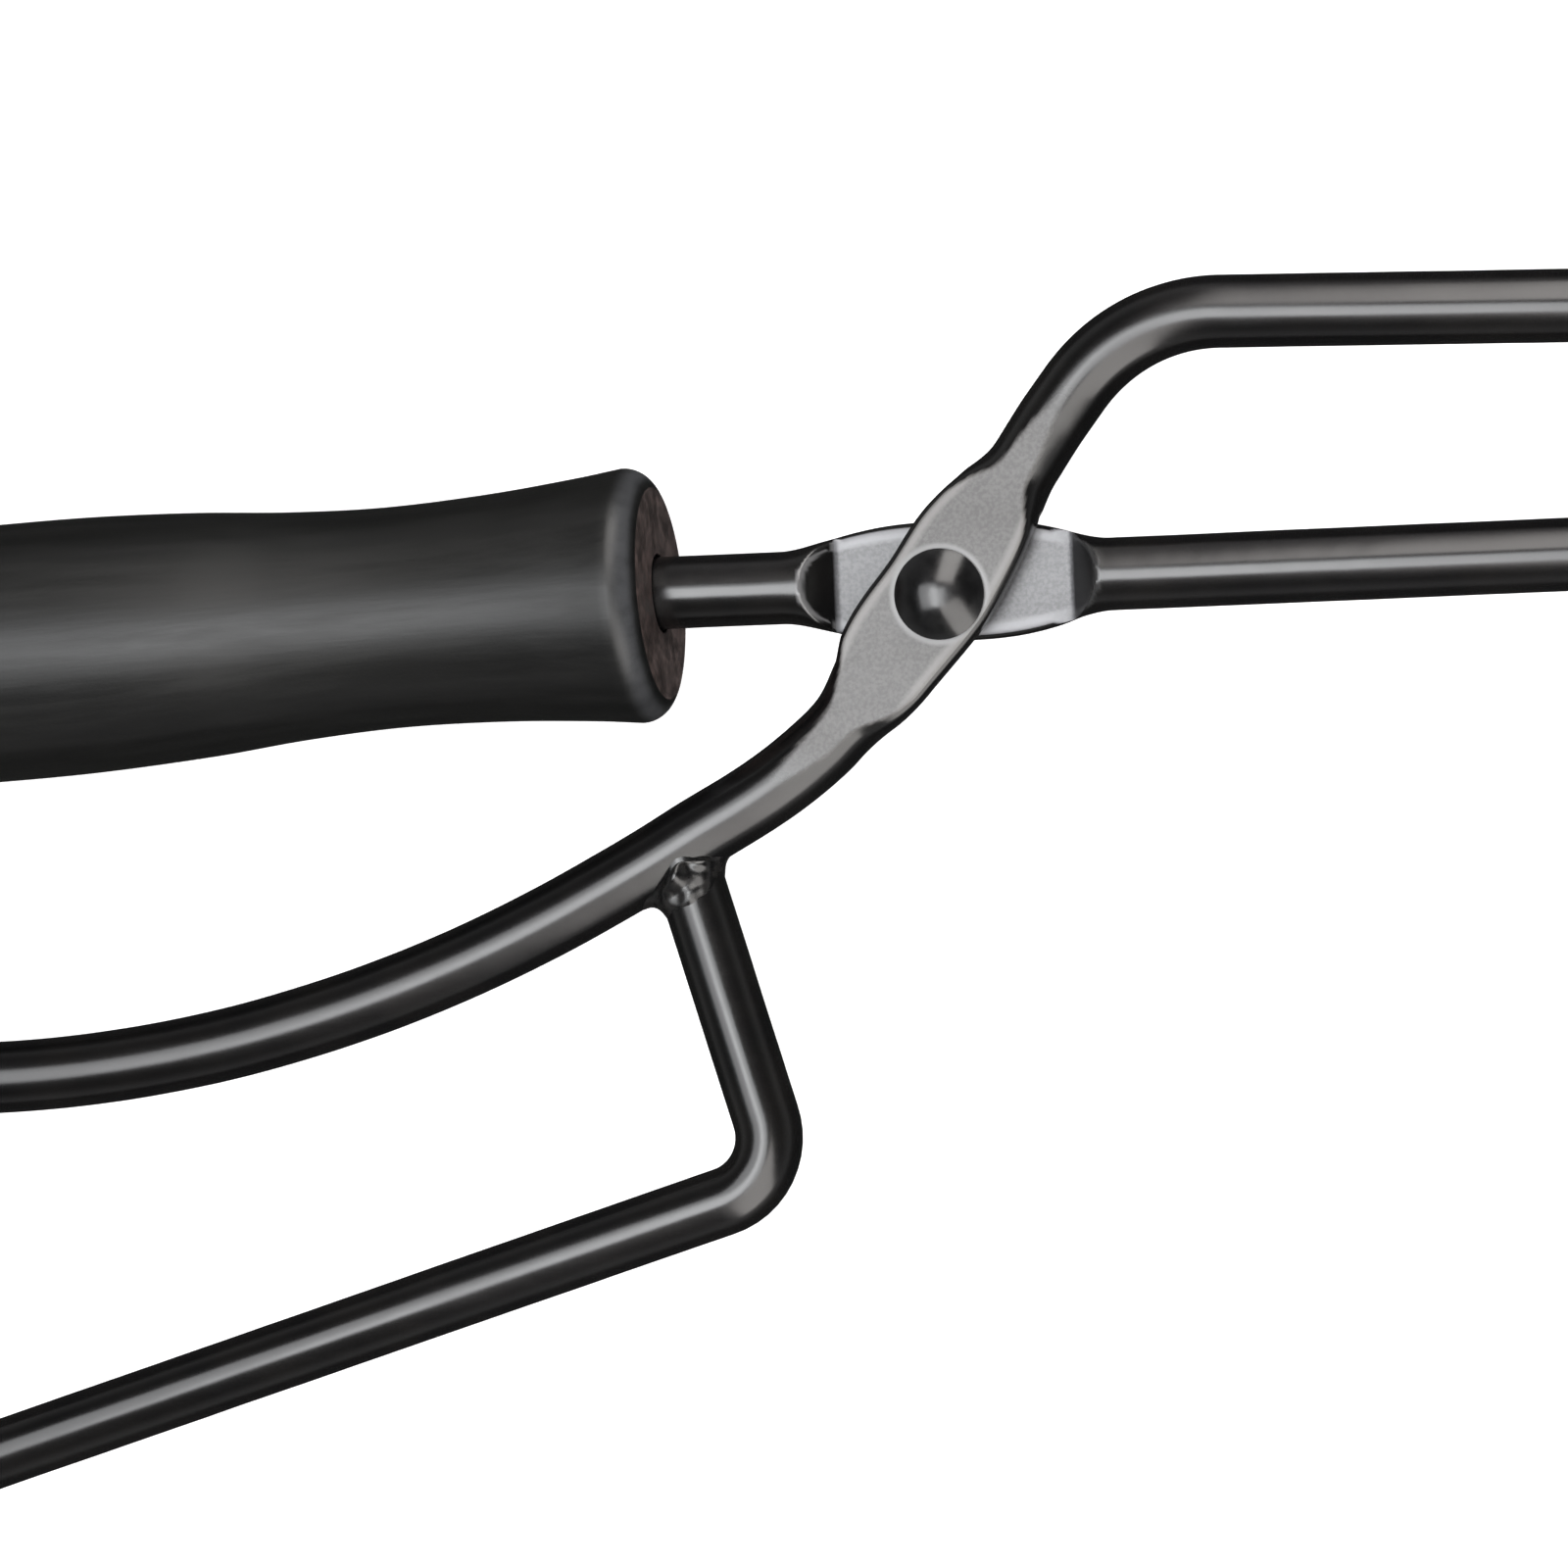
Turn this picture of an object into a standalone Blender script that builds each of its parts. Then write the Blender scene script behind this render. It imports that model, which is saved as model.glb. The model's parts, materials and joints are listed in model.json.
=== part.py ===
"""Scissor-action fire tongs: two forged rods riveted at a half-lap, a turned grip and a finger bow.

The tongs lie on their side: the pivot axis is +Z, the straight arm runs along +X to the jaws, and the
lever arm is above it on +Y at the jaws and below it on -Y at the hand. Lengths are in metres. Outlines
are laid out from the pivot, in the plane of the tongs, and PIVOT places them in the model's frame.
"""

import math

import bmesh
import bpy
from mathutils import Matrix, Vector

MM = 0.001

# Frame: the pivot's place, which centres the tongs on the origin and rests the grip on z = 0.
PIVOT = Vector((-62.4, 31.9, 14.35)) * MM
GAP = 0.3 * MM                    # room between touching pieces
MERGE = 0.01 * MM                 # points closer than this are one

# Rods
ROD_R = 4.0 * MM
BOW_R = 3.75 * MM
ROUND_SIDES = 20
TURNED_SIDES = 24
GRIP_SIDES = 32
BEAD_SIDES = (20, 12)             # round a weld bead and from pole to pole
SEARCH_STEPS = 1200               # along a path when its nearest point to the pivot is sought
END_ROUND = 2.4 * MM              # the lever's hand end is rounded over this length
END_SHRINK = 0.42                 # by this part of its section

# Half-lap at the pivot: each rod is pressed to a flat that leaves room for the other's
FLAT_INNER = 0.15 * MM            # inner face, from the tool's middle plane
FLAT_OUTER = 3.6 * MM             # outer face, just below the rod's crown
FLAT_CROWN = 1.95 * MM            # half thickness before the dies flatten it
FLAT_SQUARENESS = 5.0
RAMP_SLOPE = math.tan(math.radians(50))

# Straight arm: tang, pivot flat and lower jaw on one line
ARM_Y = 1.5 * MM
ARM_TIP_X = 277.0 * MM
TANG_DROOP = math.radians(2.7)

# Grip: measured along its own axis, back from its front face
GRIP_FRONT_X = -32.0 * MM
GRIP_LENGTH = 120.0 * MM
GRIP_BORE_R = ROD_R + GAP
GRIP_FACE_ROUND = 3.2 * MM
GRIP_BUTT_ROUND = 3.6 * MM
GRIP_MOUTH = 1.1 * MM             # chamfer where the rod enters
GRIP_RADII = (                    # (distance behind the front face, radius) in millimetres
    (3.2, 14.1), (8.3, 13.5), (19.3, 12.6), (30.3, 12.25), (41.4, 12.7), (52.4, 13.65),
    (63.4, 14.2), (76.0, 14.35), (90.0, 14.15), (104.0, 13.6), (116.4, 13.2),
)
COUNTERBORE_R = 6.9 * MM
COUNTERBORE_DEPTH = 9.0 * MM

# Tang end: a threaded stub with a washer and a nut in the counterbore
STUB_R = 2.8 * MM
BUTT_WASHER_R = 6.4 * MM
BUTT_WASHER_THICK = 1.2 * MM
NUT_ACROSS_FLATS = 10.0 * MM
NUT_THICK = 4.5 * MM
NUT_SIDES = 6
STUB_SHOWS = 1.5 * MM
STUB_ROOT = 2.0 * MM              # the stub starts this far inside the counterbore's floor
STUB_SHOULDER = 0.1 * MM          # length over which the rod steps down to the stub
FASTENER_BORE_R = STUB_R + GAP

# Rivet
RIVET_SHANK_R = 2.75 * MM
RIVET_HOLE_R = RIVET_SHANK_R + GAP
RIVET_HEAD_R = 5.1 * MM
RIVET_HEAD_RISE = 2.2 * MM
RIVET_TAIL_R = 4.5 * MM
RIVET_TAIL_RISE = 1.8 * MM
RIVET_WASHER_R = 5.4 * MM
RIVET_WASHER_THICK = 1.1 * MM

# Jaws: the rods' ends pressed flat, with teeth across their gripping faces
JAW_LENGTH = 44.0 * MM
JAW_BLEND = 16.0 * MM
JAW_HALF_THICK = 2.0 * MM
JAW_HALF_HEIGHT = 6.0 * MM
JAW_CROWN = 2.24 * MM             # half thickness before the dies flatten it
JAW_SQUARENESS = 4.0
JAW_NOSE = 6.0 * MM
JAW_NOSE_HEIGHT = 0.55            # of the jaw's height, left at the very tip
TOOTH_PITCH = 3.5 * MM
TOOTH_DEPTH = 0.7 * MM
TOOTH_COUNT = 9

# Bend corners of each rod in millimetres from the pivot: (x, y, bend radius)
LEVER_BENDS = (
    (-143.0, -45.4, 0), (-124.0, -49.45, 100), (-93.65, -49.45, 150), (-57.4, -40.1, 165),
    (-23.8, -22.95, 165), (-7.0, -9.8, 14), (6.4, 10.65, 14), (21.4, 29.95, 20),
    (231.0, 23.46, 40), (275.94, 26.11, 0),
)
BOW_BENDS = (
    (-30.95, -26.6, 0), (-20.4, -63.6, 7.4), (-139.0, -99.9, 16), (-134.3, -48.6, 0),
)

LEVER_HAND_BENDS = LEVER_BENDS[:6]

# Weld beads: half sizes down the bow's leg, along the lever and across the tool's plane
WELD_SIZE = Vector((3.3, 5.6, 5.4)) * MM
WELD_STANDOFF = 4.3 * MM          # bead's centre from the lever's centreline

# Spacing of the mesh's sections along an arm
FLAT_REACH = 26.0 * MM            # the flat's share on each side of the pivot
FADE_REACH = 47.0 * MM            # and the run-out's
FLAT_STEP = 1.3 * MM
FADE_STEP = 3.5 * MM
STRAIGHT_STEP = 60.0 * MM
TANG_STEP = 30.0 * MM
LEVER_STEP = 6.0 * MM
JAW_BLEND_STEP = 2.7 * MM
JAW_STEP = 20.0 * MM
NOSE_STEP = 1.5 * MM
LEVER_DEGREES = 2.0               # of bend for each facet of the lever's room
BOW_DEGREES = 9.0


# ---------------------------------------------------------------- scene helpers

def clear_scene():
    """Remove whatever the open file holds."""
    for obj in list(bpy.data.objects):
        bpy.data.objects.remove(obj, do_unlink=True)


def make_collection(name):
    """A new collection linked to the scene."""
    collection = bpy.data.collections.new(name)
    bpy.context.scene.collection.children.link(collection)
    return collection


def make_material(name, colour, roughness, metallic):
    """One Principled material for one piece."""
    material = bpy.data.materials.new(name)
    material.use_nodes = True
    shader = material.node_tree.nodes["Principled BSDF"]
    shader.inputs["Base Color"].default_value = (*colour, 1.0)
    shader.inputs["Roughness"].default_value = roughness
    shader.inputs["Metallic"].default_value = metallic
    material.diffuse_color = (*colour, 1.0)
    return material


def coated_steel(name):
    return make_material(name, (0.018, 0.018, 0.019), 0.32, 0.55)


def bare_steel(name):
    return make_material(name, (0.24, 0.24, 0.25), 0.38, 0.9)


def black_wood(name):
    return make_material(name, (0.022, 0.021, 0.020), 0.45, 0.0)


def make_body(name):
    """The empty that carries one rigid body, placed on the pivot's axis."""
    empty = bpy.data.objects.new(name, None)
    empty.location = PIVOT
    empty.empty_display_size = 10 * MM
    bpy.context.scene.collection.objects.link(empty)
    return empty


def add_piece(name, mesh, body, material):
    """Put a mesh, laid out from the pivot, into the model on its body."""
    piece = bpy.data.objects.new(name, mesh)
    piece.parent = body
    piece.data.materials.append(material)
    bpy.data.collections["fire_tongs"].objects.link(piece)
    return piece


def add_cutter(name, mesh, body):
    """A hidden tool for the booleans."""
    cutter = bpy.data.objects.new(name, mesh)
    cutter.parent = body
    cutter.hide_render = True
    cutter.display_type = "WIRE"
    bpy.data.collections["cutters"].objects.link(cutter)
    return cutter


def cut(piece, cutter):
    """Subtract the cutter from the piece."""
    boolean = piece.modifiers.new(cutter.name, "BOOLEAN")
    boolean.operation = "DIFFERENCE"
    boolean.solver = "EXACT"
    boolean.object = cutter


def smooth(mesh, angle=35):
    """Shade the rounds smooth and keep the edges crisp."""
    mesh.shade_smooth()
    mesh.set_sharp_from_angle(angle=math.radians(angle))


# ---------------------------------------------------------------- paths and sections

def ease(value, start, end):
    """Rise smoothly from 0 at start to 1 at end."""
    u = min(max((value - start) / (end - start), 0.0), 1.0)
    return u * u * (3 - 2 * u)


def mix(a, b, u):
    return a + (b - a) * u


class BentPath:
    """A rod's centreline in the tool's plane: straight runs joined by bends."""

    def __init__(self, bends, degrees_per_step=1.0):
        corners = [Vector((x, y)) * MM for x, y, _ in bends]
        radii = [radius * MM for _, _, radius in bends]
        self.points = [corners[0]]
        for i in range(1, len(corners) - 1):
            self._add_bend(corners[i - 1], corners[i], corners[i + 1], radii[i], degrees_per_step)
        self.points.append(corners[-1])
        self.reach = [0.0]
        for a, b in zip(self.points, self.points[1:]):
            self.reach.append(self.reach[-1] + (b - a).length)
        self.length = self.reach[-1]

    def _add_bend(self, before, corner, after, radius, degrees_per_step):
        way_in = (corner - before).normalized()
        way_out = (after - corner).normalized()
        turn = way_in.angle_signed(way_out)
        start = corner - way_in * radius * math.tan(abs(turn) / 2)
        steps = max(2, math.ceil(abs(math.degrees(turn)) / degrees_per_step))
        side = math.copysign(1.0, turn)
        normal = Vector((way_in.y, -way_in.x)) * side
        centre = start + normal * radius
        for k in range(steps + 1):
            spoke = (start - centre).copy()
            spoke.rotate(Matrix.Rotation(-turn * k / steps, 2))
            self.points.append(centre + spoke)

    def at(self, distance):
        """Point and heading at a distance along the path."""
        i = 0
        while i < len(self.points) - 2 and self.reach[i + 1] < distance:
            i += 1
        a = self.points[i]
        heading = (self.points[i + 1] - a).normalized()
        return a + heading * (distance - self.reach[i]), heading

    def nearest_to_pivot(self):
        """Distance along the path of its nearest approach to the pivot."""
        places = [self.length * k / SEARCH_STEPS for k in range(SEARCH_STEPS)]
        return min(places, key=lambda place: self.at(place)[0].length)


def power(value, exponent):
    return math.copysign(abs(value) ** exponent, value)


def forged_section(width, height, squareness, middle, z_range, thickness):
    """A superellipse about z = middle, cut off by the die faces across z and across the width."""
    outline = []
    for k in range(ROUND_SIDES):
        angle = 2 * math.pi * (k + 0.5) / ROUND_SIDES
        across = width * power(math.cos(angle), 2 / squareness)
        z = middle + height * power(math.sin(angle), 2 / squareness)
        across = min(max(across, -thickness), thickness)
        z = min(max(z, z_range[0]), z_range[1])
        outline.append((across, z))
    return outline


def lean_of(s, shape):
    """How far the forging sits off its rod's line, to the left, at distance s from the pivot."""
    total = 0.0
    for centre, reach, shift in shape["lean"]:
        total += shift * MM * max(0.0, 1 - ((s / MM - centre) / reach) ** 2) ** 2
    return total


def flat_section(s, side, shape):
    """Section of an arm at distance s from the pivot along it; side is the sign of its outer face."""
    away = abs(s) * (1.0 if s > 0 else shape["rear_stretch"])
    swell = max(0.0, 1 - (away / shape["swell_reach"]) ** shape["swell_power"])
    width = ROD_R + shape["swell"] * swell ** shape["swell_fall"]
    roundness = ease(away, *shape["rounding"])
    squareness = mix(FLAT_SQUARENESS, 2.0, roundness)
    middle = mix((FLAT_INNER + FLAT_OUTER) / 2, 0.0, roundness)
    height = mix(FLAT_CROWN, ROD_R, roundness)
    outer = mix(FLAT_OUTER, ROD_R, ease(away, *shape["run_out"]))
    shoulder = shape["shoulders"][0 if s < 0 else 1]
    inner = max(-ROD_R, FLAT_INNER - max(0.0, abs(s) - shoulder) * RAMP_SLOPE)
    outline = forged_section(width, height, squareness, middle, (inner, outer), width)
    lean = lean_of(s, shape)
    if side > 0:
        return [(across + lean, z) for across, z in outline]
    return [(across + lean, -z) for across, z in reversed(outline)]


def jaw_section(to_tip, gripping_side):
    """Section of a jaw at a distance back from its tip: its gripping face keeps the rod's level."""
    pressed = 1 - ease(to_tip, JAW_LENGTH, JAW_LENGTH + JAW_BLEND)
    nose = min(to_tip / JAW_NOSE, 1.0)
    narrowing = mix(JAW_NOSE_HEIGHT, 1.0, math.sqrt(1 - (1 - nose) ** 2))
    width = mix(ROD_R, JAW_CROWN, pressed)
    height = mix(ROD_R, JAW_HALF_HEIGHT * narrowing, pressed)
    thickness = mix(ROD_R, JAW_HALF_THICK, pressed)
    squareness = mix(2.0, JAW_SQUARENESS, pressed)
    outline = forged_section(width, height, squareness, 0.0, (-height, height), thickness)
    shift = (ROD_R - thickness) * gripping_side
    return [(across + shift, z) for across, z in outline]


def stub_section(radius):
    return forged_section(radius, radius, 2.0, 0.0, (-radius, radius), radius)


def steps_between(start, end, step):
    """Even steps from start up to, but not at, end."""
    count = max(1, round((end - start) / step))
    return [start + (end - start) * k / count for k in range(count)]


def loft(name, rings):
    """A closed mesh through equal rings of points, capped at both ends."""
    bm = bmesh.new()
    loops = [[bm.verts.new(point) for point in ring] for ring in rings]
    for near, far in zip(loops, loops[1:]):
        for k in range(len(near)):
            m = (k + 1) % len(near)
            bm.faces.new((near[k], near[m], far[m], far[k]))
    bm.faces.new(list(reversed(loops[0])))
    bm.faces.new(loops[-1])
    bmesh.ops.recalc_face_normals(bm, faces=bm.faces)
    mesh = bpy.data.meshes.new(name)
    bm.to_mesh(mesh)
    bm.free()
    smooth(mesh)
    return mesh


def arm_mesh(name, path, distances, section_at):
    """Loft a rod along its path with the section that section_at gives at each distance."""
    rings = []
    for distance in distances:
        centre, heading = path.at(distance)
        left = Vector((-heading.y, heading.x))
        ring = []
        for across, z in section_at(distance):
            point = centre + left * across
            ring.append((point.x, point.y, z))
        rings.append(ring)
    return loft(name, rings)


def turned_mesh(name, profile, steps, closed):
    """Turn a profile of (radius, z) points about Z with the Screw modifier."""
    mesh = bpy.data.meshes.new(name + "_profile")
    edges = [(i, i + 1) for i in range(len(profile) - 1)]
    if closed:
        edges.append((len(profile) - 1, 0))
    mesh.from_pydata([(r, 0, z) for r, z in profile], edges, [])
    turned = bpy.data.objects.new(name + "_profile", mesh)
    bpy.context.scene.collection.objects.link(turned)
    screw = turned.modifiers.new("turn", "SCREW")
    screw.steps = steps
    screw.render_steps = steps
    screw.use_merge_vertices = True
    screw.merge_threshold = MERGE
    return mesh_of(turned, name)


def mesh_of(obj, name):
    """Freeze an object's evaluated shape as a welded mesh and remove the object."""
    bpy.context.view_layer.update()
    evaluated = obj.evaluated_get(bpy.context.evaluated_depsgraph_get())
    mesh = bpy.data.meshes.new_from_object(evaluated)
    mesh.name = name
    mesh.materials.clear()
    bm = bmesh.new()
    bm.from_mesh(mesh)
    bmesh.ops.transform(bm, matrix=obj.matrix_world, verts=bm.verts)
    bmesh.ops.remove_doubles(bm, verts=bm.verts, dist=MERGE)
    bmesh.ops.recalc_face_normals(bm, faces=bm.faces)
    bm.to_mesh(mesh)
    bm.free()
    bpy.data.objects.remove(obj, do_unlink=True)
    smooth(mesh)
    return mesh


def wire_mesh(name, path, radius):
    """A round rod along a path, as a bevelled curve with filled caps."""
    curve = bpy.data.curves.new(name, "CURVE")
    curve.dimensions = "3D"
    curve.bevel_depth = radius
    curve.bevel_resolution = 5
    curve.use_fill_caps = True
    spline = curve.splines.new("POLY")
    spline.points.add(len(path.points) - 1)
    for spot, point in zip(spline.points, path.points):
        spot.co = (point.x, point.y, 0, 1)
    wire = bpy.data.objects.new(name, curve)
    bpy.context.scene.collection.objects.link(wire)
    return mesh_of(wire, name)


def cylinder_mesh(name, radius, low, high, segments=TURNED_SIDES):
    """A capped cylinder about Z from low to high."""
    bm = bmesh.new()
    shift = Matrix.Translation((0, 0, (low + high) / 2))
    bmesh.ops.create_cone(
        bm, cap_ends=True, segments=segments, radius1=radius, radius2=radius, depth=high - low,
        matrix=shift,
    )
    mesh = bpy.data.meshes.new(name)
    bm.to_mesh(mesh)
    bm.free()
    return mesh


# ---------------------------------------------------------------- arms

# Forged flats by distance from the pivot: how far they swell beyond the rod, where they round off and
# run out, and where their inner face ends (rear, front). "lean" lists sideways shifts of the forging
# as (place, reach, shift) in millimetres.
STRAIGHT_FLAT = {
    "swell": 2.6 * MM, "swell_reach": 18.5 * MM, "swell_power": 3, "swell_fall": 2.0,
    "rounding": (11.5 * MM, 15.5 * MM), "run_out": (15 * MM, 24 * MM),
    "shoulders": (12.2 * MM, 14.0 * MM), "rear_stretch": 1.0, "lean": (),
}
LEVER_FLAT = {
    "swell": 2.35 * MM, "swell_reach": 17.0 * MM, "swell_power": 3, "swell_fall": 2.0,
    "rounding": (9 * MM, 16 * MM), "run_out": (15 * MM, 25 * MM),
    "shoulders": (13.6 * MM, 13.0 * MM), "rear_stretch": 0.87,
    "lean": ((-10.0, 11.5, 1.0), (-27.0, 13.0, -0.56), (14.0, 9.0, -0.35)),
}


def grip_point(behind):
    """A point on the grip's axis, at a distance behind its front face."""
    return Vector((
        GRIP_FRONT_X - behind * math.cos(TANG_DROOP), ARM_Y - behind * math.sin(TANG_DROOP),
    ))


def grip_matrix(behind):
    """Stand a turned piece on the grip's axis: its +Z points back along the grip."""
    point = grip_point(behind)
    place = Matrix.Translation((point.x, point.y, 0))
    turn = Matrix.Rotation(TANG_DROOP, 4, "Z") @ Matrix.Rotation(math.radians(-90), 4, "Y")
    return place @ turn


def butt_stack():
    """Distances behind the grip's front face: counterbore floor, washer, nut and stub end."""
    floor = GRIP_LENGTH - COUNTERBORE_DEPTH
    washer = floor + GAP
    nut = washer + BUTT_WASHER_THICK + GAP
    stub_end = nut + NUT_THICK + STUB_SHOWS
    return floor, washer, nut, stub_end


def arm_distances(path, pivot_at, start, rear_step):
    """Stations along an arm: close at the flat and the jaw, wide on the plain rod."""
    jaw_root = path.length - JAW_LENGTH - JAW_BLEND
    nose = path.length - JAW_NOSE
    distances = steps_between(start, pivot_at - FADE_REACH, rear_step)
    distances += steps_between(pivot_at - FADE_REACH, pivot_at - FLAT_REACH, FADE_STEP)
    distances += steps_between(pivot_at - FLAT_REACH, pivot_at + FLAT_REACH, FLAT_STEP)
    distances += steps_between(pivot_at + FLAT_REACH, pivot_at + FADE_REACH, FADE_STEP)
    distances += steps_between(pivot_at + FADE_REACH, jaw_root, STRAIGHT_STEP)
    distances += steps_between(jaw_root, jaw_root + JAW_BLEND, JAW_BLEND_STEP)
    distances += steps_between(jaw_root + JAW_BLEND, nose, JAW_STEP)
    distances += steps_between(nose, path.length, NOSE_STEP)
    return distances + [path.length]


def arm_section(distance, pivot_at, path, side, shape):
    """Section of an arm anywhere between its root and its jaw's tip.

    The lever, whose flat faces up, grips on its right-hand side; the straight arm on its left.
    """
    to_tip = path.length - distance
    if to_tip < JAW_LENGTH + JAW_BLEND:
        return jaw_section(to_tip, -side)
    return flat_section(distance - pivot_at, side, shape)


def tooth_cutter(name, path, gripping_side, body):
    """A row of V grooves across a jaw's gripping face."""
    bm = bmesh.new()
    half = TOOTH_DEPTH * math.sqrt(2)
    for k in range(TOOTH_COUNT):
        centre, heading = path.at(path.length - JAW_NOSE - TOOTH_PITCH * k)
        left = Vector((-heading.y, heading.x))
        spot = centre + left * gripping_side * ROD_R
        turn = math.atan2(heading.y, heading.x) + math.radians(45)
        place = Matrix.Translation((spot.x, spot.y, 0)) @ Matrix.Rotation(turn, 4, "Z")
        size = Matrix.Diagonal((half, half, 4 * JAW_HALF_HEIGHT, 1))
        bmesh.ops.create_cube(bm, size=1, matrix=place @ size)
    mesh = bpy.data.meshes.new(name)
    bm.to_mesh(mesh)
    bm.free()
    return add_cutter(name, mesh, body)


def make_straight_arm(body, rivet_hole):
    """Threaded stub, tang, pivot flat and lower jaw."""
    floor, _, _, stub_end = butt_stack()
    tail = grip_point(stub_end)
    path = BentPath((
        (tail.x / MM, tail.y / MM, 0), (GRIP_FRONT_X / MM, ARM_Y / MM, 60),
        (ARM_TIP_X / MM, ARM_Y / MM, 0),
    ))
    pivot_at = path.nearest_to_pivot()
    shoulder_at = stub_end - floor + STUB_ROOT

    def section_at(distance):
        if distance < shoulder_at:
            return stub_section(STUB_R)
        return arm_section(distance, pivot_at, path, -1, STRAIGHT_FLAT)

    stub = [0.0, shoulder_at - STUB_SHOULDER]
    distances = stub + arm_distances(path, pivot_at, shoulder_at, TANG_STEP)
    mesh = arm_mesh("straight_arm", path, distances, section_at)
    arm = add_piece("straight_arm", mesh, body, coated_steel("straight_arm"))
    cut(arm, rivet_hole)
    cut(arm, tooth_cutter("lower_jaw_teeth", path, 1, body))
    return arm


def rounded_end(outline, distance):
    """Draw a section in where it lies on the rounded hand end, at a distance from its tip."""
    to_go = max(0.0, 1 - distance / END_ROUND)
    size = 1 - END_SHRINK * to_go ** 2
    return [(across * size, z * size) for across, z in outline]


def make_lever_arm(body, rivet_hole):
    """Finger lever, pivot flat, dog-leg and upper jaw."""
    path = BentPath(LEVER_BENDS)
    pivot_at = path.nearest_to_pivot()

    def section_at(distance):
        outline = arm_section(distance, pivot_at, path, 1, LEVER_FLAT)
        return rounded_end(outline, distance)

    end = [0.0, END_ROUND / 6, END_ROUND / 2]
    distances = end + arm_distances(path, pivot_at, END_ROUND, LEVER_STEP)
    mesh = arm_mesh("lever_arm", path, distances, section_at)
    arm = add_piece("lever_arm", mesh, body, coated_steel("lever_arm"))
    cut(arm, rivet_hole)
    cut(arm, tooth_cutter("upper_jaw_teeth", path, -1, body))
    return arm


# ---------------------------------------------------------------- finger bow and welds

def lever_clearance(body):
    """The lever's rod with room round it, for what is welded to its underside."""
    path = BentPath(LEVER_HAND_BENDS, LEVER_DEGREES)
    return add_cutter("lever_clearance", wire_mesh("lever_clearance", path, ROD_R + GAP), body)


def make_finger_bow(body, path, clearance):
    """Bent rod whose two ends butt against the lever."""
    mesh = wire_mesh("finger_bow", path, BOW_R)
    bow = add_piece("finger_bow", mesh, body, coated_steel("finger_bow"))
    cut(bow, clearance)
    return bow


def make_weld(name, body, inner_end, outer_end, clearance, bow_clearance):
    """A bead round the bow's leg where it meets the lever."""
    root = Vector(inner_end[:2]) * MM
    way = (Vector(outer_end[:2]) * MM - root).normalized()
    spot = root + way * WELD_STANDOFF
    turn = Matrix.Rotation(math.atan2(way.y, way.x), 4, "Z")
    size = Matrix.Diagonal((*WELD_SIZE, 1))
    bm = bmesh.new()
    bmesh.ops.create_uvsphere(
        bm, u_segments=BEAD_SIDES[0], v_segments=BEAD_SIDES[1], radius=1,
        matrix=Matrix.Translation((spot.x, spot.y, 0)) @ turn @ size,
    )
    mesh = bpy.data.meshes.new(name)
    bm.to_mesh(mesh)
    bm.free()
    smooth(mesh)
    weld = add_piece(name, mesh, body, coated_steel(name))
    cut(weld, clearance)
    cut(weld, bow_clearance)
    return weld


# ---------------------------------------------------------------- rivet, grip and fasteners

def dome(radius, rise, base, sign, count=7):
    """Quarter outline of a spherical cap from its crown to its rim: (radius, z) points."""
    sphere = (radius * radius + rise * rise) / (2 * rise)
    spread = math.asin(min(1.0, radius / sphere))
    outline = []
    for k in range(count + 1):
        angle = spread * k / count
        height = sphere * math.cos(angle) - (sphere - rise)
        outline.append((sphere * math.sin(angle), base + sign * height))
    return outline


def make_rivet(body):
    """Domed head on the lever's side, shank through both flats, peened tail at the back."""
    head_base = FLAT_OUTER + GAP
    tail_base = -(FLAT_OUTER + GAP + RIVET_WASHER_THICK + GAP)
    profile = dome(RIVET_HEAD_R, RIVET_HEAD_RISE, head_base, 1)
    profile += [(RIVET_SHANK_R, head_base), (RIVET_SHANK_R, tail_base)]
    profile += list(reversed(dome(RIVET_TAIL_R, RIVET_TAIL_RISE, tail_base, -1)))
    mesh = turned_mesh("pivot_rivet", profile, TURNED_SIDES, closed=False)
    return add_piece("pivot_rivet", mesh, body, coated_steel("pivot_rivet"))


def make_rivet_washer(body):
    """Plain washer between the straight arm's back and the rivet's tail."""
    top = -(FLAT_OUTER + GAP)
    low = top - RIVET_WASHER_THICK
    profile = [
        (RIVET_HOLE_R, top), (RIVET_WASHER_R, top), (RIVET_WASHER_R, low), (RIVET_HOLE_R, low),
    ]
    mesh = turned_mesh("rivet_washer", profile, TURNED_SIDES, closed=True)
    return add_piece("rivet_washer", mesh, body, bare_steel("rivet_washer"))


def quarter_round(centre_r, centre_z, radius, start, end, count=4):
    """Points of a quarter circle from angle start to end in degrees: (radius, z) points."""
    outline = []
    for k in range(count + 1):
        angle = math.radians(mix(start, end, k / count))
        outline.append((centre_r + radius * math.cos(angle), centre_z + radius * math.sin(angle)))
    return outline


def grip_profile():
    """Closed outline of the grip's wall; z runs back from the front face."""
    front_r = GRIP_RADII[0][1] * MM
    butt_r = GRIP_RADII[-1][1] * MM
    outer = quarter_round(front_r - GRIP_FACE_ROUND, GRIP_FACE_ROUND, GRIP_FACE_ROUND, -90, 0)
    outer += [(radius * MM, behind * MM) for behind, radius in GRIP_RADII[1:-1]]
    outer += quarter_round(
        butt_r - GRIP_BUTT_ROUND, GRIP_LENGTH - GRIP_BUTT_ROUND, GRIP_BUTT_ROUND, 0, 90,
    )
    floor = GRIP_LENGTH - COUNTERBORE_DEPTH
    inner = [
        (COUNTERBORE_R, GRIP_LENGTH), (COUNTERBORE_R, floor),
        (GRIP_BORE_R, floor), (GRIP_BORE_R, GRIP_MOUTH), (GRIP_BORE_R + GRIP_MOUTH, 0.0),
    ]
    return outer + inner


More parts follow.
